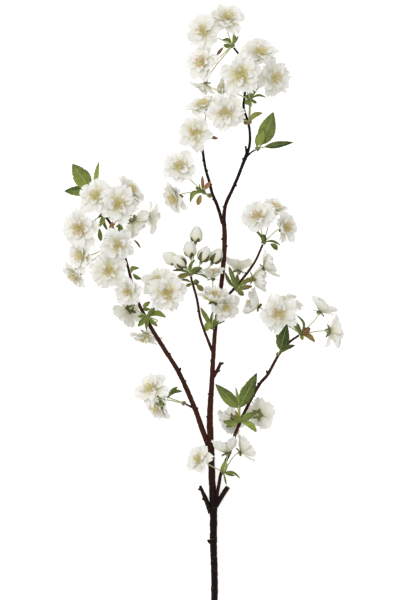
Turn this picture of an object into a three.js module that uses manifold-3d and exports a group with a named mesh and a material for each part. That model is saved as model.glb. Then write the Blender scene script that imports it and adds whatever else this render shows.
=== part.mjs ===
// A flowering sprig of double white cherry, cut and laid on a table.
// Millimetres, +Z up, +Y along the sprig from its cut end to its tip. The table is z = 0, and the
// origin lies on it under the middle of the sprig.
//
// The wood is one body. Each spur on it carries a green spray: a knuckle, flower stalks with their
// calyx cups, small toothed leaves and, on some, large leaves. Each bloom is two whorls of petals
// round a crown of stamens. Two rules keep the pieces clear of each other: a green spray starts just
// off the bark, and each bloom is pressed in where a neighbour, the wood or the table needs the room.

import * as THREE from "three";
import { mergeVertices } from "three/addons/utils/BufferGeometryUtils.js";
import Module from "manifold-3d";

const wasm = await Module();
wasm.setup();

// ---------------------------------------------------------------- driving dimensions

const GAP = 0.3; // air between pieces that touch
const PLACE = [-3.15, -1, 0]; // moves the middle of the whole sprig over the origin
const BLADE = 0.66; // thickness of petals and leaves
const KNUCKLE = 2.3; // radius of the green knuckle at a spur
const STALK = 0.95; // radius of a flower stalk
const PETAL = 18.6; // from the middle of a bloom to the tip of an outer petal
const CALYX = 4.4; // length of the cup behind the petals
// Sepals: radius and height of their tips and of the clefts between them, from the seat of the petals.
const OPEN_CUP = [6.6, -2.1, 2.6, -1];
const BUD_CUP = [5.4, 5, 4.2, 1.5];
const BUD_WIDE = 4.2; // radius of a bud near its tip
const BUD_WIDE_HIGH = 9; // height of that above its seat
const BUD_LONG = 13; // height of a bud above its seat

// Whorls of a bloom: length of a petal, half its width, its angle above the open plane in a full
// bloom and in a half-open one, how far its edges curl up, and its height on the bloom's axis.
const OUTER = { reach: PETAL, wide: 11.6, half: 7.4, open: 16, shut: 46, curl: 2, lift: 0, turn: 0 };
const INNER = { reach: 14.6, wide: 9.6, half: 5, open: 42, shut: 64, curl: 1.4, lift: 2.4, turn: 36 };
const THROAT = 2.6; // radius of the column that the petals spring from
const STAMEN = 8.5; // length of a stamen

// Each limb: points on its middle line with the radius there, as [x, y, z, radius].
const LIMBS = {
  stem: [
    [16, -338, 3.8, 3.7], [16, -289, 5.5, 3.7], [15, -257, 6.5, 3.9], [15, -219, 8.5, 4.3],
    [13, -175, 11, 3.7], [12, -150, 13, 3.8], [11, -113, 16, 3.4], [13, -79, 19, 2.8],
    [15, -43, 22, 2.5], [17, -17, 24, 2.3], [21, 11, 26.5, 2.3], [24, 35, 28.5, 2.5],
    [26, 56, 30, 2.7], [27, 74, 31, 2.7], [27, 89, 32, 2.6], [26, 103, 33, 2.4],
  ],
  upperRight: [
    [26, 100, 33, 2.2], [28, 118, 34.5, 2], [35, 134, 36, 1.9], [42, 150, 37, 1.8],
    [50, 171, 38.5, 1.9], [54, 182, 39, 1.6], [55, 194, 40, 1.5], [53, 209, 40.5, 1.5],
    [48, 225, 41, 1.5], [49, 238, 41.5, 1.4], [50, 258, 42, 1.3], [44, 281, 44, 1.2],
    [37, 291, 45, 1.2],
  ],
  upperLeft: [
    [25, 98, 33, 2], [19, 118, 33, 1.9], [14, 130, 33.5, 1.8], [10, 145, 34, 1.7],
    [6, 159, 34.5, 1.6], [3, 178, 35, 1.5], [2, 188, 35.5, 1.4],
  ],
  left: [
    [9, -147, 13.5, 3.1], [2, -128, 16, 3], [-4, -108, 18, 2.8], [-23, -65, 23, 2.6],
    [-38, -41, 26, 2.5], [-53, -17, 28.5, 2.3], [-60, -5, 30, 2], [-67, 9, 31, 1.8],
    [-76, 37, 33, 1.6], [-81, 56, 34, 1.5], [-90, 80, 35.5, 1.5], [-99, 99, 36.5, 1.4],
    [-105, 107, 37, 1.4],
  ],
  bud: [
    [15, -46, 22, 2], [9, -31, 26, 1.6], [4, -18, 29, 1.5], [0, -5, 32, 1.5], [-3, 13, 34, 1.4],
    [-6, 25, 35.5, 1.3], [-9, 35, 37, 1.3], [-10, 40, 37.5, 1.3],
  ],
  midRight: [
    [19, 5, 26, 1.8], [30, 18, 30, 1.6], [39, 28, 33, 1.6], [53, 45, 36, 1.5], [61, 57, 37.5, 1.4],
    [66, 68, 38.5, 1.3], [69, 75, 39, 1.3],
  ],
  lowRight: [
    [17, -214, 9, 2.2], [21, -190, 15, 1.9], [24, -175, 18, 1.9], [33, -154, 22, 1.8],
    [38, -137, 25, 1.9], [45, -119, 27.5, 2], [56, -96, 30, 1.8], [67, -77, 31.5, 1.8],
    [74, -69, 32.5, 1.8], [87, -46, 34, 1.6], [99, -32, 35, 1.4], [109, -25, 36, 1.3],
  ],
  // Short stubs and side twigs.
  stubLeft: [[12, -215, 9, 2.6], [7, -204, 11, 2], [1, -193, 13, 0.7]],
  stubRight: [[16, -217, 8, 2.9], [24, -204, 9, 2.8], [31, -193, 10, 2.7]],
  spurBud: [[15, -71, 20, 1.5], [20, -62, 22, 1.3], [23, -56, 23, 0.7]],
  spurTop: [[50, 168, 38.5, 1.5], [51, 176, 41, 1.3], [50, 183, 43, 1.2]],
  twig: [[-5, -106, 18.5, 1.6], [-10, -104, 20.5, 1.2], [-16, -101, 22, 1.1]],
  leafTwig: [[50, 170, 38.5, 1.3], [56, 176, 40.5, 1], [61, 179, 41.5, 0.9]],
};
// How many sides the thicker limbs have. The others have five.
const SIDES = { stem: 7, left: 6, stubRight: 6 };

// Dormant buds and leaf scars on the bark: limb, place along it from 0 to 1, side of it in
// degrees round from the top towards +X, and size.
const SCARS = [
  ["stem", 0.19, -100, 2.6], ["stem", 0.31, 80, 2.3], ["stem", 0.44, -90, 2.4],
  ["stem", 0.57, 90, 2.1], ["stem", 0.9, -80, 2], ["stem", 0.94, 85, 2],
  ["left", 0.2, -85, 2.6], ["left", 0.38, 80, 1.9], ["upperRight", 0.14, -80, 1.7],
  ["upperRight", 0.36, 85, 1.7], ["upperLeft", 0.3, 75, 1.6], ["upperLeft", 0.72, -80, 1.5],
  ["lowRight", 0.24, 80, 1.9], ["lowRight", 0.62, -80, 1.9], ["midRight", 0.45, 80, 1.7],
];

// Spurs: the limb, which of its points the knuckle sits at ("end" for its tip), the side of the
// limb that it sits on, a second knuckle on a stout green shoot where there is one, the blooms,
// and the tips of the small leaves.
// A bloom is [name, throat x, y, z, facing x, y, z, size, opening from 0 to 1, knuckle], with a
// point that its stalk goes by where it has to pass round the limb.
const SPRAYS = {
  a: {
    limb: "upperRight", at: "end", fused: true,
    blooms: [
      ["a1", 4, 308.5, 53, -0.35, 0.05, 0.93, 1, 1, 0],
      ["a2", 30, 323, 47, 0.15, 0.6, 0.75, 1.06, 0.9, 0],
      ["b1", 3, 274, 46, -0.55, 0.2, 0.8, 1.06, 1, 0],
      ["b2", 5, 250.5, 22, -0.35, -0.8, -0.15, 0.9, 0.8, 0],
    ],
    leaves: [[37, 306, 48], [42, 304, 44], [23, 299, 41]],
  },
  b: {
    limb: "upperRight", at: 7, side: [0.25, 0, 0.95], shoot: [55, 234, 47],
    blooms: [
      ["b3", 26, 247, 14, -0.75, 0.1, 0.1, 0.85, 0.8, 1, [42, 240, 40]],
      ["b4", 45, 260, 66, 0, 0.05, 1, 1.14, 1, 1],
      ["b5", 66, 284.5, 45, 0.2, 0.6, 0.75, 1.08, 0.9, 1],
      ["b6", 81, 258, 48, 0.55, -0.1, 0.8, 1.08, 1, 1],
      ["c2", 28.5, 219.5, 56, -0.15, -0.1, 0.98, 1.06, 1, 0],
    ],
    leaves: [[62, 248, 52], [73, 237, 46], [69, 214, 48], [44, 214, 46]],
  },
  c: {
    limb: "upperLeft", at: "end",
    blooms: [
      ["c1", 4, 227, 38, -0.2, 0.75, 0.55, 1, 0.9, 0],
      ["c3", -5, 197, 58, -0.15, 0, 0.98, 0.98, 1, 0],
    ],
    leaves: [[15, 192, 36], [12, 199, 40]],
  },
  w: {
    limb: "upperLeft", at: 2, side: [-0.9, 0, 0.35], shoot: [3.5, 132.5, 38], fused: true,
    blooms: [
      ["w1", -22, 160.5, 45, -0.1, 0.3, 0.94, 1, 1, 1],
      ["w2", -27.5, 127, 36, -0.75, -0.4, 0.5, 0.98, 0.9, 1],
    ],
    leaves: [[-10, 123, 42], [-2, 119, 36], [3, 149, 42]],
  },
  d: {
    limb: "left", at: "end",
    blooms: [
      ["d1", -113, 127.5, 58, -0.3, 0.3, 0.9, 1.08, 1, 0],
      ["d2", -89, 118.5, 68, 0.15, 0.1, 0.98, 1.1, 1, 0],
      ["d3", -77, 133, 46, 0.6, 0.55, 0.55, 0.96, 0.9, 0],
      ["d4", -131, 92, 52, -0.35, -0.1, 0.93, 1.12, 1, 0],
      ["d5", -71, 98.5, 44, 0.5, -0.55, -0.35, 1, 0.85, 0],
      ["d6", -54, 105.5, 24, 0.9, -0.05, -0.3, 0.95, 0.7, 0],
    ],
    leaves: [[-109, 93, 46], [-97, 116, 45]],
    bigLeaves: [
      [-122, 136, 33, -139, 163, 35, 20],
      [-124, 131, 29, -149, 131, 25, 9],
      [-117, 140, 33, -111, 166, 36, 6],
    ],
  },
  e: {
    limb: "left", at: 10, side: [-0.3, 0, 0.95],
    blooms: [
      ["d7", -90, 74, 66, 0.1, -0.2, 0.96, 0.96, 1, 0],
      ["e3", -130, 63, 30, -0.7, 0, 0.6, 0.98, 0.9, 0],
      ["e4", -138, 42, 12, -0.6, -0.5, 0.4, 0.92, 0.8, 0],
    ],
    leaves: [[-106, 81, 42], [-80, 90, 44]],
  },
  f: {
    limb: "left", at: 8, side: [-0.3, 0, 0.95],
    blooms: [
      ["e1", -99.5, 46.5, 58, -0.05, -0.15, 0.98, 1.08, 1, 0],
      ["e2", -78, 24, 60, -0.4, -0.3, 0.85, 0.88, 0.9, 0],
    ],
    leaves: [[-68, 54, 42], [-64, 40, 38]],
  },
  g: {
    limb: "left", at: 6, side: [0.5, 0, 0.85],
    blooms: [
      ["f1", -36, 22, 56, 0.1, -0.1, 0.98, 1.08, 1, 0],
      ["f2", -46, 33.5, 36, -0.2, 0.6, 0.75, 0.98, 0.9, 0],
      ["f3", -60, -26, 12, -0.1, -0.8, 0.25, 0.95, 0.9, 0, [-47, -9, 25]],
      ["e5", -80, 2, 16, -0.45, -0.35, -0.55, 1, 0.9, 0, [-70, 3, 35]],
    ],
    leaves: [[-58, 8, 42], [-38, -3, 36], [-65, -16, 38], [-49, -14, 36]],
  },
  h: {
    limb: "twig", at: "end", fused: true,
    blooms: [
      ["g1", -53.5, -83.5, 36, -0.45, 0.4, 0.8, 0.98, 1, 0],
      ["g2", -47, -103, 17, -0.6, -0.5, 0.4, 1, 0.9, 0],
    ],
    leaves: [[-31, -92, 30], [-19, -87, 28]],
  },
  buds: {
    limb: "bud", at: "end",
    blooms: [],
    // A bud is [x, y, z of its middle, facing x, y, z].
    buds: [
      [-4, 86, 42, 0.1, 1, 0.1], [-11, 70, 46, -0.1, 1, 0.25], [-33, 60, 40, -0.85, 0.5, 0.1],
      [-23, 56, 46, -0.7, 0.6, 0.3], [5, 64, 43, 0.4, 0.9, 0.1], [18, 62, 38, 0.55, 0.85, 0],
    ],
    leaves: [[-31, 46, 40], [-24, 37, 36], [1, 49, 42], [6, 36, 38]],
  },
  i: {
    limb: "stem", at: 9, side: [-0.75, 0, 0.65],
    blooms: [
      ["i1", 15.5, 16, 54, 0.05, 0.9, 0.4, 0.95, 0.2, 0],
      ["i2", 28, 6.5, 46, 0.3, -0.35, 0.88, 0.85, 0.9, 0],
      ["i3", 13.5, 41, 45, -0.05, 0.85, 0.1, 0.85, 0.4, 0],
    ],
    leaves: [[1, 3, 38], [5, -19, 37], [26, -11, 34]],
  },
  j: {
    limb: "midRight", at: 2, side: [0.4, -0.4, 0.8],
    blooms: [
      ["j1", 43, 50, 13, 0.1, 0.75, -0.25, 0.95, 0.35, 0, [33, 34, 34]],
      ["j2", 73.5, 51, 38, 0.8, 0.45, 0, 0.95, 0.2, 0],
      ["j3", 61.5, 38, 30, 0.85, 0, -0.2, 0.95, 0.2, 0, [50, 31, 31]],
    ],
    leaves: [[33, 50, 40], [57, 28, 32], [48, 20, 38]],
  },
  k: {
    limb: "midRight", at: "end",
    blooms: [
      ["k1", 63.5, 105, 52, -0.15, 0.4, 0.85, 1, 1, 0],
      ["k2", 82, 114, 30, 0.3, 0.75, 0.4, 0.9, 0.9, 0],
      ["k3", 94, 93.5, 45, 0.7, 0.1, 0.65, 0.88, 0.9, 0],
    ],
    leaves: [[57, 91, 44], [86, 74, 42], [82, 69, 38]],
  },
  l: {
    limb: "lowRight", at: "end",
    blooms: [
      ["l1", 86.5, -1.5, 50, -0.1, -0.1, 0.98, 1.05, 1, 0],
      ["l2", 94.5, 11, 30, 0.15, 0.8, -0.2, 0.95, 0.9, 0],
      ["l3", 134, 4, 32, 0.45, 0.8, -0.15, 0.98, 0.35, 0],
      ["l4", 146.5, -21, 18, 0.85, -0.08, -0.35, 1, 0.8, 0],
      ["l5", 61, 8.5, 24, -0.8, 0.45, 0.15, 0.95, 0.2, 0],
    ],
    leaves: [[107, -2, 42], [121, -17, 42], [124, -30, 38]],
  },
  m: {
    limb: "lowRight", at: 5, side: [-0.1, 0, 1],
    blooms: [
      ["m1", 66, -112, 22, 0.35, 0.1, -0.7, 0.95, 0.9, 0],
      ["m2", 36, -120.5, 20, -0.5, -0.45, -0.5, 0.95, 0.9, 0],
    ],
    leaves: [[32, -127, 39], [60, -110, 38], [62, -131, 34]],
    bigLeaves: [
      [42, -104, 40, 18, -80, 46, 9.5],
      [45, -103, 40, 62, -67, 46, 12.5],
      [43, -98, 43, 39, -81, 49, 4],
    ],
  },
  n: {
    limb: "lowRight", at: 2, side: [0.45, -0.2, 0.8],
    blooms: [
      ["n1", 29, -151, 34, -0.1, 1, -0.25, 0.98, 0.2, 0],
      ["n2", 48, -152, 26, 0.75, 0.4, -0.1, 0.98, 0.2, 0],
      ["n3", -1, -162, 30, -0.5, 0.3, 0.8, 0.85, 0.9, 0],
    ],
    leaves: [[28, -163, 32], [40, -181, 28]],
  },
  v: {
    limb: "leafTwig", at: "end",
    blooms: [],
    leaves: [],
    bigLeaves: [
      [68, 185, 44, 80, 218, 50, 16],
      [71, 180, 42, 103, 186, 44, 7],
      [63, 184, 47, 70, 200, 54, 8],
    ],
  },
  r: {
    limb: "lowRight", at: 9, side: [-0.2, 0, 0.95],
    blooms: [],
    leaves: [[100, -42, 40]],
    bigLeaves: [[88, -41, 42, 95, -13, 59, 14]],
  },
};

// ---------------------------------------------------------------- small helpers

const vec = (x, y, z) => new THREE.Vector3(x, y, z);
const UP = vec(0, 0, 1);

// A steady stream of numbers from 0 to 1 for a piece's own small differences.
function stream(seed) {
  let state = seed * 2654435761 + 12345;
  return () => {
    state = (state * 1664525 + 1013904223) % 4294967296;
    return state / 4294967296;
  };
}

// A closed solid from points and triangles that face outwards.
function solid(points, faces) {
  const vertProperties = new Float32Array(points.flatMap((p) => [p.x, p.y, p.z]));
  const triVerts = new Uint32Array(faces.flat());
  return new wasm.Manifold(new wasm.Mesh({ numProp: 3, vertProperties, triVerts }));
}

// A closed solid from a three.js geometry.
function fromGeometry(geometry) {
  const bare = geometry.clone();
  bare.deleteAttribute("normal");
  bare.deleteAttribute("uv");
  const merged = mergeVertices(bare, 1e-4);
  const vertProperties = merged.attributes.position.array;
  const triVerts = new Uint32Array(merged.index.array);
  return new wasm.Manifold(new wasm.Mesh({ numProp: 3, vertProperties, triVerts }));
}

// A named mesh with flat shading from a solid.
function toMesh(name, body, material) {
  const { vertProperties, triVerts, numProp } = body.getMesh();
  const places = new Float32Array((vertProperties.length / numProp) * 3);
  for (let i = 0; i < places.length / 3; i++)
    places.set(vertProperties.subarray(i * numProp, i * numProp + 3), i * 3);
  const geometry = new THREE.BufferGeometry();
  geometry.setAttribute("position", new THREE.BufferAttribute(places, 3));
  geometry.setIndex(new THREE.BufferAttribute(triVerts, 1));
  const flat = geometry.toNonIndexed();
  flat.computeVertexNormals();
  const mesh = new THREE.Mesh(flat, material);
  mesh.name = name;
  return mesh;
}

const joined = (bodies) => bodies.reduce((whole, body) => whole.add(body));

// The rings of a round rod along a curve, with its radius at each place given by radiusAt(0..1):
// its points, its faces without the far end, and the frame of that end.
function rodRings(curve, radiusAt, sides, steps) {
  const { normals, binormals, tangents } = curve.computeFrenetFrames(steps, false);
  const points = [];
  for (let k = 0; k <= steps; k++) {
    const middle = curve.getPointAt(k / steps);
    const radius = radiusAt(k / steps);
    for (let s = 0; s < sides; s++) {
      const angle = (s / sides) * 2 * Math.PI;
      const out = normals[k].clone().multiplyScalar(Math.cos(angle) * radius);
      out.addScaledVector(binormals[k], Math.sin(angle) * radius);
      points.push(middle.clone().add(out));
    }
  }
  const faces = [];
  for (let k = 0; k < steps; k++)
    for (let s = 0; s < sides; s++) {
      const a = k * sides + s;
      const b = k * sides + ((s + 1) % sides);
      faces.push([a, b, b + sides], [a, b + sides, a + sides]);
    }
  for (let s = 1; s < sides - 1; s++) faces.push([0, s + 1, s]);
  const end = { normal: normals[steps], binormal: binormals[steps], tangent: tangents[steps] };
  return { points, faces, end };
}

// A round rod along a curve, closed at both ends.
function rod(curve, radiusAt, sides, steps) {
  const { points, faces } = rodRings(curve, radiusAt, sides, steps);
  const last = steps * sides;
  for (let s = 1; s < sides - 1; s++) faces.push([last, last + s, last + s + 1]);
  return solid(points, faces);
}

// The points of the upper and the lower skin of a sheet of triangles given an even thickness.
function thicken(points, faces, thickness) {
  const normals = points.map(() => vec(0, 0, 0));
  for (const [a, b, c] of faces) {
    const ab = points[b].clone().sub(points[a]);
    const ac = points[c].clone().sub(points[a]);
    const normal = ab.cross(ac);
    for (const i of [a, b, c]) normals[i].add(normal);
  }
  normals.forEach((n) => n.normalize());
  const top = points.map((p, i) => p.clone().addScaledVector(normals[i], thickness / 2));
  const under = points.map((p, i) => p.clone().addScaledVector(normals[i], -thickness / 2));
  return [top, under];
}

// The edges that only one triangle uses, each in that triangle's own direction.
function rims(faces) {
  const used = new Set(faces.flatMap(([a, b, c]) => [`${a} ${b}`, `${b} ${c}`, `${c} ${a}`]));
  const edges = [...used].map((edge) => edge.split(" ").map(Number));
  return edges.filter(([a, b]) => !used.has(`${b} ${a}`));
}

// ---------------------------------------------------------------- wood

const curveOf = (limb) => new THREE.CatmullRomCurve3(limb.map(([x, y, z]) => vec(x, y, z)));

// The radius of a limb at the place u, from 0 to 1, along its length.
function radiusOn(limb, curve, u) {
  const place = curve.getUtoTmapping(u) * (limb.length - 1);
  const k = Math.min(Math.floor(place), limb.length - 2);
  return THREE.MathUtils.lerp(limb[k][3], limb[k + 1][3], place - k);
}

function limbBody(name) {
  const limb = LIMBS[name];
  const curve = curveOf(limb);
  return rod(curve, (u) => radiusOn(limb, curve, u), SIDES[name] ?? 5, limb.length - 1);
}

// A dormant bud: a small pointed knob that leans along the limb.
function scarBody([name, u, side, size]) {
  const curve = curveOf(LIMBS[name]);
  const along = curve.getTangentAt(u);
  const across = along.clone().cross(UP).normalize();
  const angle = THREE.MathUtils.degToRad(side);
  const out = UP.clone().multiplyScalar(Math.cos(angle)).addScaledVector(across, Math.sin(angle));
  const root = curve.getPointAt(u).addScaledVector(out, radiusOn(LIMBS[name], curve, u) * 0.6);
  const lean = out.clone().addScaledVector(along, 0.9).normalize();
  const knob = new THREE.ConeGeometry(size * 0.66, size * 1.7, 4);
  knob.applyQuaternion(new THREE.Quaternion().setFromUnitVectors(vec(0, 1, 0), lean));
  const place = root.addScaledVector(lean, size * 0.6);
  return fromGeometry(knob.translate(place.x, place.y, place.z));
}

function woodBody() {
  return joined([...Object.keys(LIMBS).map(limbBody), ...SCARS.map(scarBody)]);
}

// ---------------------------------------------------------------- where things sit

// A spray's knuckle: its middle, just off the bark of its limb, and the way out from the limb.
function knuckleOf(spray) {
  const limb = LIMBS[spray.limb];
  const curve = curveOf(limb);
  if (spray.at === "end") {
    const out = curve.getTangent(1);
    return { out, place: curve.getPoint(1).addScaledVector(out, KNUCKLE + GAP) };
  }
  const t = spray.at / (limb.length - 1);
  const along = curve.getTangent(t);
  const out = vec(...spray.side);
  out.addScaledVector(along, -out.dot(along)).normalize();
  const off = limb[spray.at][3] + KNUCKLE + GAP;
  return { out, place: curve.getPoint(t).addScaledVector(out, off) };
}

// Every bloom with its frame: its seat (where the petals join), facing, middle and knuckle.
const BLOOMS = Object.entries(SPRAYS).flatMap(([sprayName, spray]) => {
  const knuckles = [knuckleOf(spray).place];
  if (spray.shoot) knuckles.push(vec(...spray.shoot));
  return spray.blooms.map(([name, x, y, z, fx, fy, fz, size, opening, which, by]) => {
    const facing = vec(fx, fy, fz).normalize();
    const seat = vec(x, y, z).addScaledVector(facing, -3.5 * size);
    const middle = seat.clone().addScaledVector(facing, 4.5 * size);
    const knuckle = knuckles[which];
    return { name, sprayName, facing, seat, middle, size, opening, knuckle, by };
  });
});

// ---------------------------------------------------------------- petals

// The middle sheet of one whorl of five petals round the ring, in the bloom's own frame.
// Outer petals end in two lobes with a notch between them, inner ones in one rounded tip.
function whorl(shape, bloom, random, lobed) {
  const points = [];
  const faces = [];
  const tilt = THREE.MathUtils.degToRad(
    THREE.MathUtils.lerp(shape.shut, shape.open, bloom.opening),
  );
  const pointAt = (angle, reach, across, raise, rise) => {
    const out = THROAT + (reach - THROAT) * Math.cos(rise);
    const high = shape.lift + (reach - THROAT) * Math.sin(rise) + raise;
    return vec(
      out * Math.cos(angle) - across * Math.sin(angle),
      out * Math.sin(angle) + across * Math.cos(angle),
      high,
    );
  };
  const perPetal = lobed ? 6 : 4;
  for (let i = 0; i < 5; i++) {
    const middle = THREE.MathUtils.degToRad(72 * i + shape.turn);
    const cleftAngle = middle - Math.PI / 5;
    const long = shape.reach * (0.94 + 0.1 * random());
    const rise = tilt + THREE.MathUtils.degToRad(9 * (random() - 0.5));
    const twist = 1.4 * (random() - 0.5);
    // Neighbouring petals of a whorl stay side by side at their widest.
    const room = (THROAT + (shape.wide - THROAT) * Math.cos(rise)) * Math.tan(Math.PI / 5);
    const half = Math.min(shape.half, room - 1.4 * BLADE);
    const lobe = half * 0.58;
    const curl = shape.curl * 0.7;
    points.push(vec(THROAT * Math.cos(cleftAngle), THROAT * Math.sin(cleftAngle), shape.lift));
    points.push(pointAt(middle, shape.wide, -half, shape.curl + twist, rise));
    if (lobed) points.push(pointAt(middle, long, -lobe, curl + twist, rise));
    points.push(pointAt(middle, lobed ? long * 0.9 : long, 0, 0.2, rise));
    if (lobed) points.push(pointAt(middle, long, lobe, curl - twist, rise));
    points.push(pointAt(middle, shape.wide, half, shape.curl - twist, rise));
    const cleft = i * perPetal;
    const tip = cleft + (lobed ? 3 : 2);
    const right = cleft + perPetal - 1;
    const nextCleft = ((i + 1) % 5) * perPetal;
    faces.push([cleft, tip, nextCleft], [cleft, cleft + 1, tip], [tip, right, nextCleft]);
    if (lobed) faces.push([cleft + 1, cleft + 2, tip], [tip, cleft + 4, right]);
  }
  return { points, faces, perPetal };
}

// Planes that a bloom must stay behind: a direction from its middle and how far it may reach.
function limitsOf(bloom) {
  const skin = BLADE / 2 + GAP / 2;
  const limits = [{ toward: vec(0, 0, -1), room: bloom.middle.z - BLADE / 2 }];
  for (const other of BLOOMS) {
    if (other === bloom) continue;
    const apart = bloom.middle.distanceTo(other.middle);
    if (apart > 3 * PETAL) continue;
    const toward = other.middle.clone().sub(bloom.middle).normalize();
    limits.push({ toward, room: (apart * bloom.size) / (bloom.size + other.size) - skin });
  }
  for (const limb of Object.values(LIMBS)) {
    const curve = curveOf(limb);
    let nearest = { apart: Infinity };
    for (let u = 0; u <= 1; u += 0.02) {
      const place = curve.getPointAt(u);
      const apart = place.distanceTo(bloom.middle) - radiusOn(limb, curve, u);
      if (apart < nearest.apart) nearest = { apart, place };
    }
    if (nearest.apart > 1.5 * PETAL) continue;
    const toward = nearest.place.sub(bloom.middle).normalize();
    limits.push({ toward, room: nearest.apart - GAP - BLADE / 2 });
  }
  return limits;
}

// Presses the points in, evenly, on the side of each limit.
function makeRoom(points, bloom) {
  const limits = limitsOf(bloom);
  for (let pass = 0; pass < 3; pass++)
    for (const { toward, room } of limits) {
      const reach = points.map((p) => p.clone().sub(bloom.middle).dot(toward));
      const furthest = Math.max(...reach);
      if (furthest <= room) continue;
      points.forEach((p, i) => {
        if (reach[i] > 0) p.addScaledVector(toward, reach[i] * (room / furthest - 1));
      });
    }
}

// A bloom: the outer whorl, a short column through it to the inner whorl, and a crown of stamens.
function bloomBody(bloom, seed) {
  const random = stream(seed);
  const outer = whorl(OUTER, bloom, random, bloom.size > 0.9);
  const inner = whorl(INNER, bloom, random, false);
  const lean = (0.4 + 0.2 * random()) * bloom.opening;
  const crown = [0, 1, 2, 3, 4].map((i) => {
    const angle = THREE.MathUtils.degToRad(72 * i + INNER.turn);
    const high = STAMEN * (0.85 + 0.3 * random());
    return vec(high * lean * Math.cos(angle), high * lean * Math.sin(angle), INNER.lift + high);
  });
  const pistil = vec(0, 0, INNER.lift + 1.2);
  const local = [...outer.points, ...inner.points, ...crown, pistil];
  const turn = new THREE.Quaternion().setFromUnitVectors(UP, bloom.facing);
  const spin = new THREE.Quaternion().setFromAxisAngle(UP, random() * 1.2);
  for (const p of local) {
    p.multiplyScalar(bloom.size).applyQuaternion(spin).applyQuaternion(turn).add(bloom.seat);
  }
  makeRoom(local, bloom);
  const clefts = outer.points.filter((_, i) => i % outer.perPetal === 0);
  bloom.seat = clefts.reduce((sum, p) => sum.add(p), vec(0, 0, 0)).divideScalar(clefts.length);

  const [outerTop, outerUnder] = thicken(outer.points, outer.faces, BLADE);
  const [innerTop, innerUnder] = thicken(inner.points, inner.faces, BLADE);
  const points = [...outerTop, ...outerUnder, ...innerTop, ...innerUnder, ...crown, pistil];
  const faces = [];
  const sheet = (whorlFaces, top, under, ringOf) => {
    for (const [a, b, c] of whorlFaces) {
      faces.push([top + a, top + b, top + c]);
      faces.push([under + a, under + c, under + b]);
    }
    const isRing = (i) => i % ringOf === 0;
    for (const [a, b] of rims(whorlFaces))
      if (!(isRing(a) && isRing(b))) {
        faces.push([top + a, under + a, under + b], [top + a, under + b, top + b]);
      }
  };
  const starts = [0, outerTop.length, 2 * outerTop.length, 2 * outerTop.length + innerTop.length];
  const crownStart = starts[3] + innerTop.length;
  const pistilAt = crownStart + 5;
  sheet(outer.faces, starts[0], starts[1], outer.perPetal);
  sheet(inner.faces, starts[2], starts[3], inner.perPetal);
  const ringPoint = (start, perPetal, i) => start + (i % 5) * perPetal;
  for (let i = 0; i < 5; i++) {
    const low = [0, 1].map((k) => ringPoint(starts[0], outer.perPetal, i + k));
    const high = [0, 1].map((k) => ringPoint(starts[3], inner.perPetal, i + k));
    faces.push([low[0], low[1], high[1]], [low[0], high[1], high[0]]);
    const top = [0, 1].map((k) => ringPoint(starts[2], inner.perPetal, i + k));
    faces.push([top[0], top[1], crownStart + i]);
    faces.push([top[1], pistilAt, crownStart + i], [pistilAt, top[0], crownStart + i]);
  }
  const under = [0, 1, 2, 3, 4].map((i) => ringPoint(starts[1], outer.perPetal, i));
  for (let i = 1; i < 4; i++) faces.push([under[0], under[i + 1], under[i]]);
  return solid(points, faces);
}

// ---------------------------------------------------------------- green parts

// The line of a flower stalk: it leaves the knuckle and comes up behind the calyx.
function stalkCurve({ seat, facing, knuckle, size, by }) {
  const foot = seat.clone().addScaledVector(facing, -CALYX * size);
  const span = foot.distanceTo(knuckle);
  if (by) {
    const last = foot.clone().addScaledVector(facing, -span * 0.15);
    return new THREE.CatmullRomCurve3([knuckle, vec(...by), last, foot]);
  }
  const last = foot.clone().addScaledVector(facing, -span * 0.3);
  const start = foot.clone().sub(knuckle).normalize().add(vec(0, 0, 0.35)).normalize();
  const first = knuckle.clone().addScaledVector(start, span * 0.35);
  return new THREE.CubicBezierCurve3(knuckle, first, last, foot);
}

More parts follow.
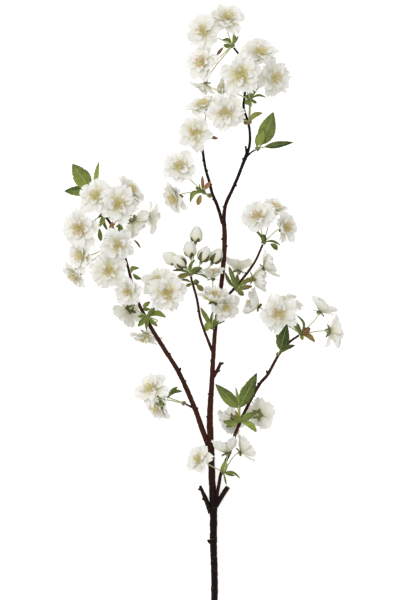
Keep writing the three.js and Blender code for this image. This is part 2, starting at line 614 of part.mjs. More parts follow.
// A stalk that opens into the cup behind a bloom, with five pointed sepals bent a little back.
// Sunk, its middle reaches into the bloom. On a bud the sepals stand up round the shut petals.
function stalkBody(bloom, { sunk = false, bud = false } = {}) {
  const steps = bloom.by ? 6 : 4;
  const curve = stalkCurve(bloom);
  const radiusAt = (u) => (u < 1 ? STALK : STALK * 1.4);
  const { points, faces, end } = rodRings(curve, radiusAt, 3, steps);
  const place = (angle, radius, high) => {
    const p = bloom.seat.clone().addScaledVector(end.tangent, high * bloom.size);
    p.addScaledVector(end.normal, Math.cos(angle) * radius * bloom.size);
    points.push(p.addScaledVector(end.binormal, Math.sin(angle) * radius * bloom.size));
  };
  const ring = 3 * steps;
  const star = points.length;
  const [tipRadius, tipHigh, cleftRadius, cleftHigh] = bud ? BUD_CUP : OPEN_CUP;
  for (let i = 0; i < 10; i++) {
    const isTip = i % 2 === 0;
    place((i / 5) * Math.PI, isTip ? tipRadius : cleftRadius, isTip ? tipHigh : cleftHigh);
  }
  // The three corners of the stalk's end, each fanned out to the ten points of the star.
  const corner = (i) => ring + (Math.round((i * 3) / 10) % 3);
  for (let i = 0; i < 10; i++) {
    const next = star + ((i + 1) % 10);
    faces.push([corner(i), next, star + i]);
    if (corner(i) !== corner(i + 1)) faces.push([corner(i), corner(i + 1), next]);
  }
  if (bud) {
    const crown = points.length;
    for (let i = 0; i < 5; i++) place(((2 * i + 1) / 5) * Math.PI, BUD_WIDE, BUD_WIDE_HIGH);
    place(0, 0, BUD_LONG);
    for (let i = 0; i < 5; i++) {
      const [tip, cleft, nextTip] = [star + 2 * i, star + 2 * i + 1, star + ((2 * i + 2) % 10)];
      const [low, high] = [crown + ((i + 4) % 5), crown + i];
      faces.push([tip, high, low], [tip, cleft, high], [cleft, nextTip, high]);
      faces.push([low, high, crown + 5]);
    }
    return solid(points, faces);
  }
  place(0, 0, sunk ? 1 : -0.66);
  for (let i = 0; i < 10; i++) faces.push([star + i, star + ((i + 1) % 10), star + 10]);
  return solid(points, faces);
}

// The line of a leaf: its direction, length, the way across it and the way it faces.
function leafFrame(foot, tip) {
  const along = tip.clone().sub(foot);
  const length = along.length();
  along.normalize();
  const side = along.clone().cross(UP).normalize();
  return { along, length, side, face: side.clone().cross(along) };
}

// A point on the arched rib of a leaf.
function ribAt(foot, { along, length, face }, t) {
  const arch = 0.1 * length * Math.sin(Math.PI * t);
  return foot.clone().addScaledVector(along, t * length).addScaledVector(face, arch);
}

// A leaf from its foot to its tip, arched and folded a little along its rib, with a cut edge.
function leafBody(foot, tip, width, rows) {
  const frame = leafFrame(foot, tip);
  const { along, length, side, face } = frame;
  const points = [];
  for (let k = 0; k < rows; k++) {
    const t = (k + 0.15) / rows;
    const notch = k % 2 === 0 ? 1 : 0.8;
    const half = Math.max((width / 2) * Math.sin(Math.PI * t ** 0.8) ** 0.75 * notch, 0.5);
    const rib = ribAt(foot, frame, t);
    const reach = k % 2 === 0 ? 0.03 * length : 0;
    for (const way of [-1, 0, 1]) {
      const p = rib.clone().addScaledVector(side, way * half);
      p.addScaledVector(along, way ? reach : 0).addScaledVector(face, way ? 0.3 * half : 0);
      points.push(p);
    }
  }
  points.push(tip.clone());
  const faces = [];
  for (let k = 0; k < rows - 1; k++)
    for (const c of [3 * k, 3 * k + 1]) {
      faces.push([c, c + 1, c + 4], [c, c + 4, c + 3]);
    }
  const last = 3 * (rows - 1);
  const end = points.length - 1;
  faces.push([last, last + 1, end], [last + 1, last + 2, end]);
  return bladeBody(points, faces);
}

// A small toothed leaf at a spur.
function scaleLeafBody(foot, tip) {
  const { along, length, side, face } = leafFrame(foot, tip);
  const at = (t, across, raise) =>
    foot.clone().addScaledVector(along, t * length).addScaledVector(side, across * length)
      .addScaledVector(face, raise * length);
  const points = [
    at(0, -0.05, 0), at(0, 0.05, 0), at(0.6, 0.17, 0.14), at(1, 0.02, 0), at(0.8, -0.1, 0.1),
    at(0.52, -0.16, 0.14),
  ];
  const faces = [[0, 1, 2], [0, 2, 5], [2, 4, 5], [2, 3, 4]];
  return bladeBody(points, faces);
}

// A thin closed blade from the points and triangles of its middle sheet.
function bladeBody(points, faces) {
  const [top, under] = thicken(points, faces, BLADE);
  const n = points.length;
  const all = faces.flatMap(([a, b, c]) => [[a, b, c], [n + a, n + c, n + b]]);
  for (const [a, b] of rims(faces)) all.push([a, n + a, n + b], [a, n + b, b]);
  return solid([...top, ...under], all);
}

// A shut bud on its stalk.
function budBody([x, y, z, fx, fy, fz], knuckle) {
  const facing = vec(fx, fy, fz).normalize();
  const seat = vec(x, y, z).addScaledVector(facing, -5.5);
  return stalkBody({ seat, facing, knuckle, size: 1 }, { bud: true });
}

// Everything green on one spur, with its blooms too where they are one body with it.
function sprayBody(name, spray, blooms) {
  const { place: first, out } = knuckleOf(spray);
  const knuckles = [first];
  const bodies = [];
  if (spray.shoot) {
    knuckles.push(vec(...spray.shoot));
    const shoot = new THREE.LineCurve3(knuckles[0], knuckles[1]);
    bodies.push(rod(shoot, () => 1.3, 5, 1));
  }
  const turn = new THREE.Quaternion().setFromUnitVectors(UP, out);
  for (const place of knuckles) {
    const knot = new THREE.OctahedronGeometry(KNUCKLE).applyQuaternion(turn);
    bodies.push(fromGeometry(knot.translate(...place.toArray())));
  }
  for (const bloom of blooms) {
    bodies.push(stalkBody(bloom, { sunk: spray.fused }));
    if (spray.fused) bodies.push(bloom.body);
  }
  const nearest = (place) =>
    knuckles.reduce((a, b) => (b.distanceTo(place) < a.distanceTo(place) ? b : a));
  for (const tip of spray.leaves.map((place) => vec(...place)))
    bodies.push(scaleLeafBody(nearest(tip), tip));
  for (const [x, y, z, tx, ty, tz, width] of spray.bigLeaves ?? []) {
    const foot = vec(x, y, z);
    const tip = vec(tx, ty, tz);
    const end = ribAt(foot, leafFrame(foot, tip), 0.14);
    const bend = new THREE.QuadraticBezierCurve3(nearest(foot), foot, end);
    bodies.push(rod(bend, () => 0.9, 3, 3), leafBody(foot, tip, width, width > 8 ? 5 : 4));
  }
  for (const bud of spray.buds ?? []) bodies.push(budBody(bud, knuckles[0]));
  return joined(bodies);
}

// ---------------------------------------------------------------- the sprig

const MATERIALS = {
  bark: new THREE.MeshStandardMaterial({ color: 0x4a2a25, roughness: 0.75, metalness: 0 }),
  green: new THREE.MeshStandardMaterial({ color: 0x5d7d33, roughness: 0.6, metalness: 0 }),
  petal: new THREE.MeshStandardMaterial({ color: 0xf4f2ec, roughness: 0.65, metalness: 0 }),
};

const sprig = new THREE.Group();
sprig.add(toMesh("branch", woodBody(), MATERIALS.bark));

BLOOMS.forEach((bloom, i) => {
  bloom.body = bloomBody(bloom, i + 1);
});
for (const [name, spray] of Object.entries(SPRAYS)) {
  const blooms = BLOOMS.filter((bloom) => bloom.sprayName === name);
  const body = sprayBody(name, spray, blooms);
  sprig.add(toMesh(`spray_${name}`, body, spray.fused ? MATERIALS.petal : MATERIALS.green));
  if (!spray.fused)
    for (const bloom of blooms)
      sprig.add(toMesh(`bloom_${bloom.name}`, bloom.body, MATERIALS.petal));
}
sprig.position.set(...PLACE);

export default sprig;
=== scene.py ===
"""Dresses a cut, flowering sprig of double white cherry that lies on a table.

The sprig is laid out in millimetres, in the frame of its tables, and every finished piece is then
put in the row's frame in metres. Wood, green sprays and blooms each have an operator, and the stage
has one too. Sizes and colours that a user would change are properties of the scene.
"""

import math
from itertools import pairwise
from typing import NamedTuple

import bmesh
import bpy
from bpy.props import FloatProperty, FloatVectorProperty, IntProperty, PointerProperty
from mathutils import Matrix, Quaternion, Vector, noise


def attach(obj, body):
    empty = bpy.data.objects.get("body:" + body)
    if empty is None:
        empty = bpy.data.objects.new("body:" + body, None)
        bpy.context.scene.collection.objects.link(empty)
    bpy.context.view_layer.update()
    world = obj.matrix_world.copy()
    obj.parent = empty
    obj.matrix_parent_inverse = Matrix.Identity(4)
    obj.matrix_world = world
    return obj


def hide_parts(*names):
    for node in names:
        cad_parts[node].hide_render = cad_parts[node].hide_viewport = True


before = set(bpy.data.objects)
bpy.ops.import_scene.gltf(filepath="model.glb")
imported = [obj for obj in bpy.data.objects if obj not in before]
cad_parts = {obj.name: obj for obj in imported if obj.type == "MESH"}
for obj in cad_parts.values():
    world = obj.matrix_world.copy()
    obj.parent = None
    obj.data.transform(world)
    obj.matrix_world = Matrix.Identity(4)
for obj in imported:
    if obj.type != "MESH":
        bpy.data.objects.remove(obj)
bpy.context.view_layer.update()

bl_info = {
    "name": "Cherry blossom sprig",
    "version": (1, 0, 0),
    "blender": (4, 5, 0),
    "location": "3D Viewport > Sidebar > Sprig",
    "description": "A flowering cherry sprig with bark, stalks, toothed leaves, buds and blooms",
    "category": "Add Mesh",
}

MM = 0.001
PLACE = Vector((-3.15, -1, 0))  # puts the middle of the sprig on the row's origin
TO_METRES = Matrix.Scale(MM, 4) @ Matrix.Translation(PLACE)
UP = Vector((0, 0, 1))
GAP = 0.3  # what touching pieces keep clear of each other
GOLDEN_ANGLE = 2.39996  # the turn from one stamen to the next

# ---------------------------------------------------------------- where the sprig grows

# Each limb: points on its middle line with the radius there, as (x, y, z, radius).
LIMBS = {
    "stem": [
        (16, -338, 3.8, 3.7), (16, -289, 5.5, 3.7), (15, -257, 6.5, 3.9), (15, -219, 8.5, 4.3),
        (13, -175, 11, 3.7), (12, -150, 13, 3.8), (11, -113, 16, 3.4), (13, -79, 19, 2.8),
        (15, -43, 22, 2.5), (17, -17, 24, 2.3), (21, 11, 26.5, 2.3), (24, 35, 28.5, 2.5),
        (26, 56, 30, 2.7), (27, 74, 31, 2.7), (27, 89, 32, 2.6), (26, 103, 33, 2.4),
    ],
    "upperRight": [
        (26, 100, 33, 2.2), (28, 118, 34.5, 2), (35, 134, 36, 1.9), (42, 150, 37, 1.8),
        (50, 171, 38.5, 1.9), (54, 182, 39, 1.6), (55, 194, 40, 1.5), (53, 209, 40.5, 1.5),
        (48, 225, 41, 1.5), (49, 238, 41.5, 1.4), (50, 258, 42, 1.3), (44, 281, 44, 1.2),
        (37, 291, 45, 1.2),
    ],
    "upperLeft": [
        (25, 98, 33, 2), (19, 118, 33, 1.9), (14, 130, 33.5, 1.8), (10, 145, 34, 1.7),
        (6, 159, 34.5, 1.6), (3, 178, 35, 1.5), (2, 188, 35.5, 1.4),
    ],
    "left": [
        (9, -147, 13.5, 3.1), (2, -128, 16, 3), (-5, -108, 18, 2.8), (-24, -65, 23, 2.6),
        (-39, -41, 26, 2.5), (-53.7, -17, 28.5, 2.3), (-60, -5, 30, 2), (-67, 9, 31, 1.8),
        (-76, 37, 33, 1.6), (-81, 56, 34, 1.5), (-90, 80, 35.5, 1.5), (-99, 99, 36.5, 1.4),
        (-105, 107, 37, 1.4),
    ],
    "bud": [
        (15, -46, 22, 2), (9, -31, 26, 1.6), (4, -18, 29, 1.5), (0, -5, 32, 1.5),
        (-3, 13, 34, 1.4), (-6, 25, 35.5, 1.3), (-9, 35, 37, 1.3), (-10, 40, 37.5, 1.3),
    ],
    "midRight": [
        (19, 5, 26, 1.8), (30, 18, 30, 1.6), (39, 28, 33, 1.6), (53, 45, 36, 1.5),
        (61, 57, 37.5, 1.4), (66, 68, 38.5, 1.3), (69, 75, 39, 1.3),
    ],
    "lowRight": [
        (17, -214, 9, 2.2), (21, -190, 15, 1.9), (24, -175, 18, 1.9), (33, -154, 22, 1.8),
        (38, -137, 25, 1.9), (45, -119, 27.5, 2), (56, -96, 30, 1.8), (67, -77, 31.5, 1.8),
        (74, -69, 32.5, 1.8), (87, -46, 34, 1.6), (99, -32, 35, 1.4), (109, -25, 36, 1.3),
    ],
    "stubLeft": [(12, -222, 8, 3), (6, -206, 11, 2.7), (0, -192, 13, 1.6)],
    "stubRight": [(16, -217, 8, 2.9), (24, -204, 9, 2.8), (31, -193, 10, 2.7)],
    "spurBud": [(15, -71, 20, 2), (20, -62, 22, 2), (23, -55, 23, 1.7)],
    "spurTop": [(50, 168, 38.5, 1.5), (51, 176, 41, 1.3), (50, 183, 43, 1.2)],
    "twig": [(-5, -106, 18.5, 1.6), (-10, -104, 20.5, 1.2), (-16, -101, 22, 1.1)],
    "leafTwig": [(50, 170, 38.5, 1.3), (56, 176, 40.5, 1), (61, 179, 41.5, 0.9)],
}
THICK_LIMBS = {"stem": 20, "left": 16, "stubRight": 16, "stubLeft": 14}
SPURS = ("spurBud", "spurTop", "twig", "leafTwig")
CUT_LIMBS = ("stem", "stubRight")

# Dormant buds on the bark: limb, the place x, y that each one sits nearest to, and its size.
SCARS = [
    ("stem", 9, -256, 4.4), ("stem", 7, -116, 2.2), ("stem", 8, -91, 2), ("stem", 11, -53, 2.2),
    ("stem", 23, 80, 2.4), ("stem", 31, 73, 2.2), ("left", -33, -46, 2.2), ("left", -20, -63, 3),
    ("left", -14, -76, 2), ("left", 1, -105, 2.2), ("upperRight", 40, 139, 2),
    ("upperRight", 46, 169, 2), ("upperRight", 25, 116, 1.8), ("upperLeft", 2, 167, 1.6),
    ("upperLeft", 9, 156, 1.6), ("upperLeft", 14, 141, 1.6), ("upperLeft", 14, 124, 1.8),
    ("lowRight", 73, -66, 2.8), ("lowRight", 63, -78, 2), ("lowRight", 54, -93, 2),
    ("lowRight", 60, -93, 1.6), ("midRight", 49, 44, 1.6), ("bud", -3, 1, 1.5),
    ("spurBud", 25, -57, 2.6), ("spurBud", 21, -65, 2.2), ("stubLeft", -2, -197, 2.6),
    ("stubLeft", 2, -208, 2.4),
]

# The place of a knuckle that sits at the very tip of its limb.
TIP = -1


class Spray(NamedTuple):
    """What grows at one spur, from a knuckle on a limb. Lengths are in millimetres.

    A bloom is its name, its throat x, y, z, its facing x, y, z, its size, its opening from 0 to 1
    and which knuckle it grows from, with a point that its stalk goes by where it passes round a limb
    or a bloom. A bud is its middle, its facing and how long its sepals are. A small leaf is its tip,
    its width, its bend to the left as a share of its length, how pale and how red it is from 0 to 1,
    and its foot where that isn't the knuckle. A large leaf is foot, tip, width and how pale it is.
    """

    name: str
    limb: str
    at: int  # which of the limb's points the knuckle sits at
    side: tuple = ()  # the side of the limb that it sits on
    shoot: tuple = ()  # a second knuckle, at the end of a stout green shoot
    fused: bool = False  # whether its blooms share its node
    blooms: list = ()
    buds: list = ()
    leaves: list = ()
    large: list = ()


SPRAYS = [
    Spray("a", "upperRight", TIP, fused=True, blooms=[
        ("a1", 4, 308.5, 53, -0.35, 0.05, 0.93, 1, 1, 0),
        ("a2", 30, 323, 47, 0.15, 0.6, 0.75, 1.06, 0.9, 0),
        ("b1", 3, 274, 46, -0.55, 0.2, 0.8, 1.06, 1, 0),
        ("b2", 5, 250.5, 22, -0.35, -0.8, -0.15, 0.9, 0.8, 0),
    ], leaves=[
        (37, 307, 48, 3.8, -0.1, 0.35, 0), (42, 304, 44, 1.8, -0.05, 0.1, 0),
        (24, 299, 41, 3.4, -0.25, 0.15, 0), (26, 294, 43, 4, 0.1, 0, 0.3),
        (18.5, 283, 42, 3, 0, 0, 1, (26, 292, 44)),
    ]),
    Spray("b", "upperRight", 7, side=(0.25, 0, 0.95), shoot=(55, 234, 47), blooms=[
        ("b3", 26, 247, 14, -0.75, 0.1, 0.1, 0.85, 0.8, 1, (42, 240, 40)),
        ("b4", 45, 260, 66, 0, 0.05, 1, 1.14, 1, 1),
        ("b5", 66, 284.5, 45, 0.2, 0.6, 0.75, 1.08, 0.9, 1),
        ("b6", 81, 258, 48, 0.55, -0.1, 0.8, 1.08, 1, 1),
        ("c2", 28.5, 219.5, 56, -0.15, -0.1, 0.98, 1.06, 1, 0),
    ], leaves=[
        (63, 248, 52, 5.4, 0.1, 0.2, 0), (72, 236, 46, 2.4, 0.2, 0.1, 0),
        (62, 230, 46, 3.2, 0, 0.1, 0), (51, 239, 48, 4.4, 0, 0, 0.2),
        (68, 219, 48, 5, 0.16, 0.5, 0.42), (50, 229, 46, 5.4, 0, 0.5, 0),
        (44, 218, 44, 2.6, 0.1, 0.1, 0.3), (56, 226, 46, 3.4, -0.1, 0, 0),
        (56, 213, 43, 4.2, 0, 0.8, 1, (52, 206, 41)), (48, 212, 42, 3.2, 0, 0.6, 1, (51, 206, 41)),
    ]),
    Spray("c", "upperLeft", TIP, blooms=[
        ("c1", 4, 227, 38, -0.2, 0.75, 0.55, 1, 0.9, 0),
        ("c3", -5, 197, 58, -0.15, 0, 0.98, 0.98, 1, 0),
    ], leaves=[
        (19.5, 191.5, 38, 3.2, 0, 0.2, 0.95, (9, 193.5, 38)), (12, 199, 40, 2, 0, 0, 0.4),
    ]),
    Spray("w", "upperLeft", 2, side=(-0.9, 0, 0.35), shoot=(3.5, 132.5, 38), fused=True, blooms=[
        ("w1", -22, 160.5, 45, -0.1, 0.3, 0.94, 1, 1, 1),
        ("w2", -27.5, 127, 36, -0.75, -0.4, 0.5, 0.98, 0.9, 1),
    ], leaves=[
        (2.5, 150, 42, 3.2, 0, 0.3, 1), (10.5, 143.5, 40, 4.4, 0, 0.8, 0.9, (5, 135, 38)),
        (-5, 137.5, 42, 3.8, 0, 0.15, 0), (-1, 142, 41, 1.6, 0.1, 0.8, 0),
        (-10.5, 121.5, 41, 4.8, -0.3, 0.35, 0), (-2.5, 118.5, 37, 5, 0, 0.6, 0.75, (1, 130, 38)),
    ]),
    Spray("d", "left", TIP, blooms=[
        ("d1", -113, 127.5, 58, -0.3, 0.3, 0.9, 1.08, 1, 0),
        ("d2", -89, 118.5, 68, 0.15, 0.1, 0.98, 1.1, 1, 0),
        ("d3", -77, 133, 46, 0.6, 0.55, 0.55, 0.96, 0.9, 0),
        ("d4", -131, 92, 52, -0.35, -0.1, 0.93, 1.12, 1, 0),
        ("d5", -71, 98.5, 44, 0.5, -0.55, -0.35, 1, 0.85, 0),
        ("d6", -54, 105.5, 24, 0.9, -0.05, -0.3, 0.95, 0.7, 0),
    ], leaves=[
        (-111, 94, 46, 4.8, 0.1, 0.5, 0), (-92, 100, 43, 4.6, 0.1, 0.15, 0),
        (-109, 116, 43, 5, 0, 0, 0), (-112, 104, 43, 2.8, 0, 0, 0.2), (-101, 90, 41, 3, -0.1, 0, 0.2),
        (-109, 79, 42, 4.4, 0, 0.1, 0.3, (-110.5, 93, 45)),
        (-93, 101, 41, 4.2, 0, 0.8, 1, (-100, 92, 38)),
        (-87.5, 84, 43, 5.6, 0.05, 0.15, 0.1, (-88, 98, 42)),
        (-87, 99, 42, 2.8, -0.15, 0.2, 0, (-93, 94, 39)),
    ], large=[
        ((-121, 136, 33), (-140, 163, 35), 18.5, 0.5), ((-121, 134, 29), (-149, 134, 25), 11, 0.25),
        ((-116, 140, 33), (-111.5, 166, 36), 5.4, 1),
    ]),
    Spray("e", "left", 10, side=(-0.3, 0, 0.95), blooms=[
        ("d7", -90, 74, 66, 0.1, -0.2, 0.96, 0.96, 1, 0),
        ("e3", -130, 63, 30, -0.7, 0, 0.6, 0.98, 0.9, 0),
        ("e4", -138, 42, 12, -0.6, -0.5, 0.4, 0.92, 0.8, 0),
    ], leaves=[
        (-106, 81, 42, 3.4, 0, 0.1, 0), (-85, 89, 44, 3, 0, 0.2, 0),
        (-65.5, 71, 50, 2, 0.06, 0, 0.8, (-73, 80.5, 50)), (-84, 65, 44, 2.2, 0, 0, 0.6),
    ]),
    Spray("f", "left", 8, side=(-0.3, 0, 0.95), blooms=[
        ("e1", -99.5, 46.5, 58, -0.05, -0.15, 0.98, 1.08, 1, 0),
        ("e2", -78, 24, 60, -0.4, -0.3, 0.85, 0.88, 0.9, 0),
    ], leaves=[
        (-67, 49, 42, 4.6, 0.3, 0.45, 0, (-76, 43, 36)),
        (-65, 37, 38, 4, -0.1, 0.25, 0.25, (-74, 43, 36)),
    ]),
    Spray("g", "left", 6, side=(0.5, 0, 0.85), blooms=[
        ("f1", -36, 22, 56, 0.1, -0.1, 0.98, 1.08, 1, 0),
        ("f2", -46, 33.5, 36, -0.2, 0.6, 0.75, 0.98, 0.9, 0),
        ("f3", -60, -26, 12, -0.1, -0.8, 0.25, 0.95, 0.9, 0, (-47, -9, 25)),
        ("e5", -80, 2, 16, -0.45, -0.35, -0.55, 1, 0.9, 0, (-70, 3, 35)),
    ], leaves=[
        (-55, 12, 40, 4.4, 0, 0.5, 0.35, (-63, 6, 33)), (-55, 4, 38, 3.6, -0.1, 0.1, 0, (-63, 5, 33)),
        (-50, 5, 40, 5, 0, 0.2, 0), (-38, -5, 36, 5.6, 0.22, 0.5, 0), (-68, -4, 38, 3.8, 0, 0.3, 0),
        (-68, -15, 38, 5.2, 0, 0.25, 0), (-59, -18, 36, 3.6, 0, 0.15, 0),
        (-47, -15, 36, 3.8, 0, 0.25, 0),
    ]),
    Spray("h", "twig", TIP, fused=True, blooms=[
        ("g1", -53.5, -83.5, 36, -0.45, 0.4, 0.8, 0.98, 1, 0),
        ("g2", -47, -103, 17, -0.6, -0.5, 0.4, 1, 0.9, 0),
    ], leaves=[
        (-25, -82, 30, 3.4, 0, 0.1, 0, (-35, -89, 28)),
        (-20, -87, 28, 4.2, 0.2, 0.2, 0, (-37, -95, 27)),
        (-43, -107, 27, 2.6, 0.1, 0.1, 0, (-39, -96, 28)),
        (-47, -88, 32, 2.4, 0, 0.1, 0, (-39, -94, 28)), (-48, -92, 32, 4.2, 0, 0.5, 0, (-38, -94, 28)),
        (-47, -102, 29, 4.4, 0, 0.3, 0, (-38, -95, 28)),
    ]),
    Spray("buds", "bud", TIP, buds=[
        (-4, 86, 42, 0.1, 1, 0.1, 5), (-11, 70, 46, -0.1, 1, 0.25, 6),
        (-33, 60, 40, -0.85, 0.5, 0.1, 4.5), (-23, 56, 46, -0.7, 0.6, 0.3, 11),
        (5, 64, 43, 0.4, 0.9, 0.1, 11), (18, 62, 38, 0.55, 0.85, 0, 11),
    ], leaves=[
        (-30, 46, 40, 2.8, -0.12, 0, 0.3), (-25, 39, 36, 5.2, 0, 0.3, 0.6),
        (2, 49, 42, 5.4, 0.1, 0, 0.35), (9, 37, 38, 2.6, 0.15, 0.3, 0.3),
        (-21, 36, 38, 2.4, -0.1, 0, 0.3, (-9, 33, 37)), (-16, 29, 37, 3.2, 0, 0.3, 0.5, (-8, 32, 37)),
        (-1, 34, 39, 5.6, 0, 0, 0.4, (-8, 33, 37)), (4, 24, 38, 5, 0, 0.2, 0.6, (-4, 31, 37)),
        (-5, 58, 44, 3, 0.2, 0.3, 0),
    ]),
    Spray("i", "stem", 9, side=(-0.75, 0, 0.65), blooms=[
        ("i1", 15.5, 16, 54, 0.05, 0.9, 0.4, 0.95, 0.2, 0),
        ("i2", 28, 6.5, 46, 0.3, -0.35, 0.88, 0.85, 0.9, 0),
        ("i3", 13.5, 41, 45, -0.05, 0.85, 0.1, 0.85, 0.4, 0),
    ], leaves=[
        (1, 5, 38, 4.6, 0, 0.3, 0), (16, 4, 38, 2.6, 0.1, 0.1, 0), (27, -9, 36, 6.2, 0.2, 0.15, 0),
        (7, -20, 36, 6.4, 0, 0.6, 0, (10, -9, 34)),
    ]),
    Spray("j", "midRight", 2, side=(0.4, -0.4, 0.8), blooms=[
        ("j1", 43, 50, 13, 0.1, 0.75, -0.25, 0.95, 0.35, 0, (33, 34, 34)),
        ("j2", 73.5, 51, 38, 0.8, 0.45, 0, 0.95, 0, 0),
        ("j3", 61.5, 38, 30, 0.85, 0, -0.2, 0.95, 0.1, 0, (50, 31, 31)),
    ], leaves=[
        (32, 50, 40, 4.6, 0, 0.2, 0.2), (28, 44, 38, 3.6, 0.1, 0, 0.5), (41, 42, 40, 4.4, 0, 0, 0.5),
        (62, 36, 38, 4.4, 0.15, 0.2, 0.5), (57, 29, 36, 4.4, 0, 0.2, 0.6),
        (48, 19, 37, 5, 0, 0.15, 0.5),
    ]),
    Spray("k", "midRight", TIP, blooms=[
        ("k1", 63.5, 105, 52, -0.15, 0.4, 0.85, 1, 1, 0),
        ("k2", 82, 114, 30, 0.3, 0.75, 0.4, 0.9, 0.9, 0),
        ("k3", 94, 93.5, 45, 0.7, 0.1, 0.65, 0.88, 0.9, 0),
    ], leaves=[
        (58, 92, 44, 2.6, -0.1, 0.1, 0), (70, 86, 44, 5.4, 0, 0, 0), (88, 74, 42, 2.6, 0.16, 0.15, 0),
        (85, 69, 38, 4.8, 0.1, 0.05, 0.2, (77, 76, 39)),
    ]),
    Spray("l", "lowRight", TIP, blooms=[
        ("l1", 86.5, -1.5, 50, -0.1, -0.1, 0.98, 1.05, 1, 0),
        ("l2", 94.5, 11, 30, 0.15, 0.8, -0.2, 0.95, 0.9, 0),
        ("l3", 134, 4, 32, 0.45, 0.8, -0.15, 0.98, 0.35, 0),
        ("l4", 146.5, -21, 18, 0.85, -0.08, -0.35, 1, 0.8, 0),
        ("l5", 61, 8.5, 24, -0.8, 0.45, 0.15, 0.95, 0, 0),
    ], leaves=[
        (106, -3, 43, 2.6, -0.25, 0.15, 0), (105, -10, 41, 4.2, 0, 0.1, 0),
        (121, -17, 42, 7, 0, 0.1, 0.95), (126, -32, 39, 5, 0.14, 0.5, 0.7),
        (113, -30, 36, 3.6, 0, 0.5, 0.1),
    ]),
    Spray("m", "lowRight", 5, side=(-0.1, 0, 1), blooms=[
        ("m1", 66, -112, 22, 0.35, 0.1, -0.7, 0.95, 0.9, 0),
        ("m2", 36, -120.5, 20, -0.5, -0.45, -0.5, 0.95, 0.9, 0),
    ], leaves=[
        (39, -108, 36, 3.4, 0, 0.5, 0.6), (35, -113, 35, 4, 0, 0.3, 0.1),
        (26, -120, 36, 5.8, 0.1, 0.3, 0), (29, -126, 34, 4, 0, 0.2, 0), (59, -110, 38, 7, 0, 0.3, 0),
        (62, -131, 34, 6, 0.12, 0.7, 0.25), (37, -138, 26, 3, 0, 0, 0.7, (40, -130, 26)),
    ], large=[
        ((42.5, -105, 40), (17.5, -79, 46), 13, 0.35), ((43, -105, 40), (62, -67, 46), 15, 0.2),
        ((43, -101, 42), (39, -81, 49), 3.4, 1),
    ]),
    Spray("n", "lowRight", 2, side=(0.45, -0.2, 0.8), blooms=[
        ("n1", 29, -151, 34, -0.1, 1, -0.25, 0.98, 0, 0),
        ("n2", 48, -152, 26, 0.75, 0.4, -0.1, 0.98, 0.15, 0),
        ("n3", -1, -162, 30, -0.5, 0.3, 0.8, 0.85, 0.9, 0),
    ], leaves=[
        (28, -163, 32, 6, 0, 0.85, 0), (44, -183, 28, 2.6, 0.18, 0.25, 0),
        (38, -180, 27, 3, 0, 0.1, 0), (23, -170, 27, 2.8, 0, 0, 0.6), (29, -190, 23, 2, 0, 0.3, 0.1),
    ]),
    Spray("v", "leafTwig", TIP, leaves=[
        (65, 198, 46, 3.4, 0.1, 0, 0),
    ], large=[
        ((68, 184, 44), (80, 219, 50), 18, 0.4), ((70, 182, 42), (102, 187, 44), 7.2, 0.1),
        ((63, 183, 47), (70, 200, 54), 8.6, 0.8),
    ]),
    Spray("r", "lowRight", 9, side=(-0.2, 0, 0.95), leaves=[
        (104, -36, 40, 4.4, 0.1, 0, 0.1), (84, -24, 39, 4, 0, 0.4, 0, (89, -33, 41)),
    ], large=[
        ((88, -41, 42), (95, -13, 59), 14, 0),
    ]),
]

# How green the throat of a bloom is, and how orange its anthers are, where they stand out.
GREEN_THROATS = {
    "i1": 1.6, "b4": 1, "c3": 0.9, "e1": 0.9, "d2": 0.85, "f1": 0.8, "k1": 0.4, "b3": 0.9,
}
PLAIN_THROAT = 0.6
RIPE_ANTHERS = {
    "d4": 1, "k1": 0.8, "l1": 0.8, "k3": 0.7, "b1": 1, "c2": 0.7, "f1": 0.6, "w1": 0.6,
}
PLAIN_ANTHERS = 0.25

# How deep the green of a cup is, where it is paler than the rest.
CUP_DEPTHS = {"m1": 0.72, "d5": 0.9}


# ---------------------------------------------------------------- sizes and colours

def length(name, description, default):
    """A property that holds a length in metres."""
    return FloatProperty(name=name, description=description, default=default, min=0.0,
                         precision=5, subtype="DISTANCE", unit="LENGTH")


def colour(name, description, default):
    """A property that holds a colour."""
    return FloatVectorProperty(name=name, description=description, default=default, size=3,
                               min=0.0, max=1.0, subtype="COLOR")


class BlossomLook(bpy.types.PropertyGroup):
    """Sizes and colours of the blooms and the shut buds."""

    petal_long: length("Petal length", "From the middle of a bloom to its outer tips", 0.0212)
    petal_half: length("Petal half width", "Half the width of an outer petal", 0.0100)
    petal_thick: length("Petal thickness", "Thickness of a petal", 0.00022)
    ruffle: length("Ruffle", "How far the rim of a petal waves", 0.0011)
    stamen_long: length("Stamen length", "Length of a middling stamen", 0.009)
    stamen_thick: length("Stamen radius", "Radius of a stamen's thread", 0.00017)
    anther: length("Anther length", "Length of the grain at a stamen's tip", 0.0014)
    stamens: IntProperty(name="Stamens", description="Stamens in a bloom", default=36, min=3)
    white: colour("Petal", "Colour of a petal", (0.88, 0.87, 0.825))
    shade: colour("Vein", "Colour of the veins and folds of a petal", (0.80, 0.775, 0.67))
    throat: colour("Throat", "Colour of the foot of a petal", (0.82, 0.79, 0.40))
    thread: colour("Thread", "Colour of a stamen's thread", (0.82, 0.76, 0.40))
    grain: colour("Anther", "Colour of a young anther", (0.74, 0.60, 0.20))
    ripe_grain: colour("Ripe anther", "Colour of a ripe anther", (0.66, 0.30, 0.06))


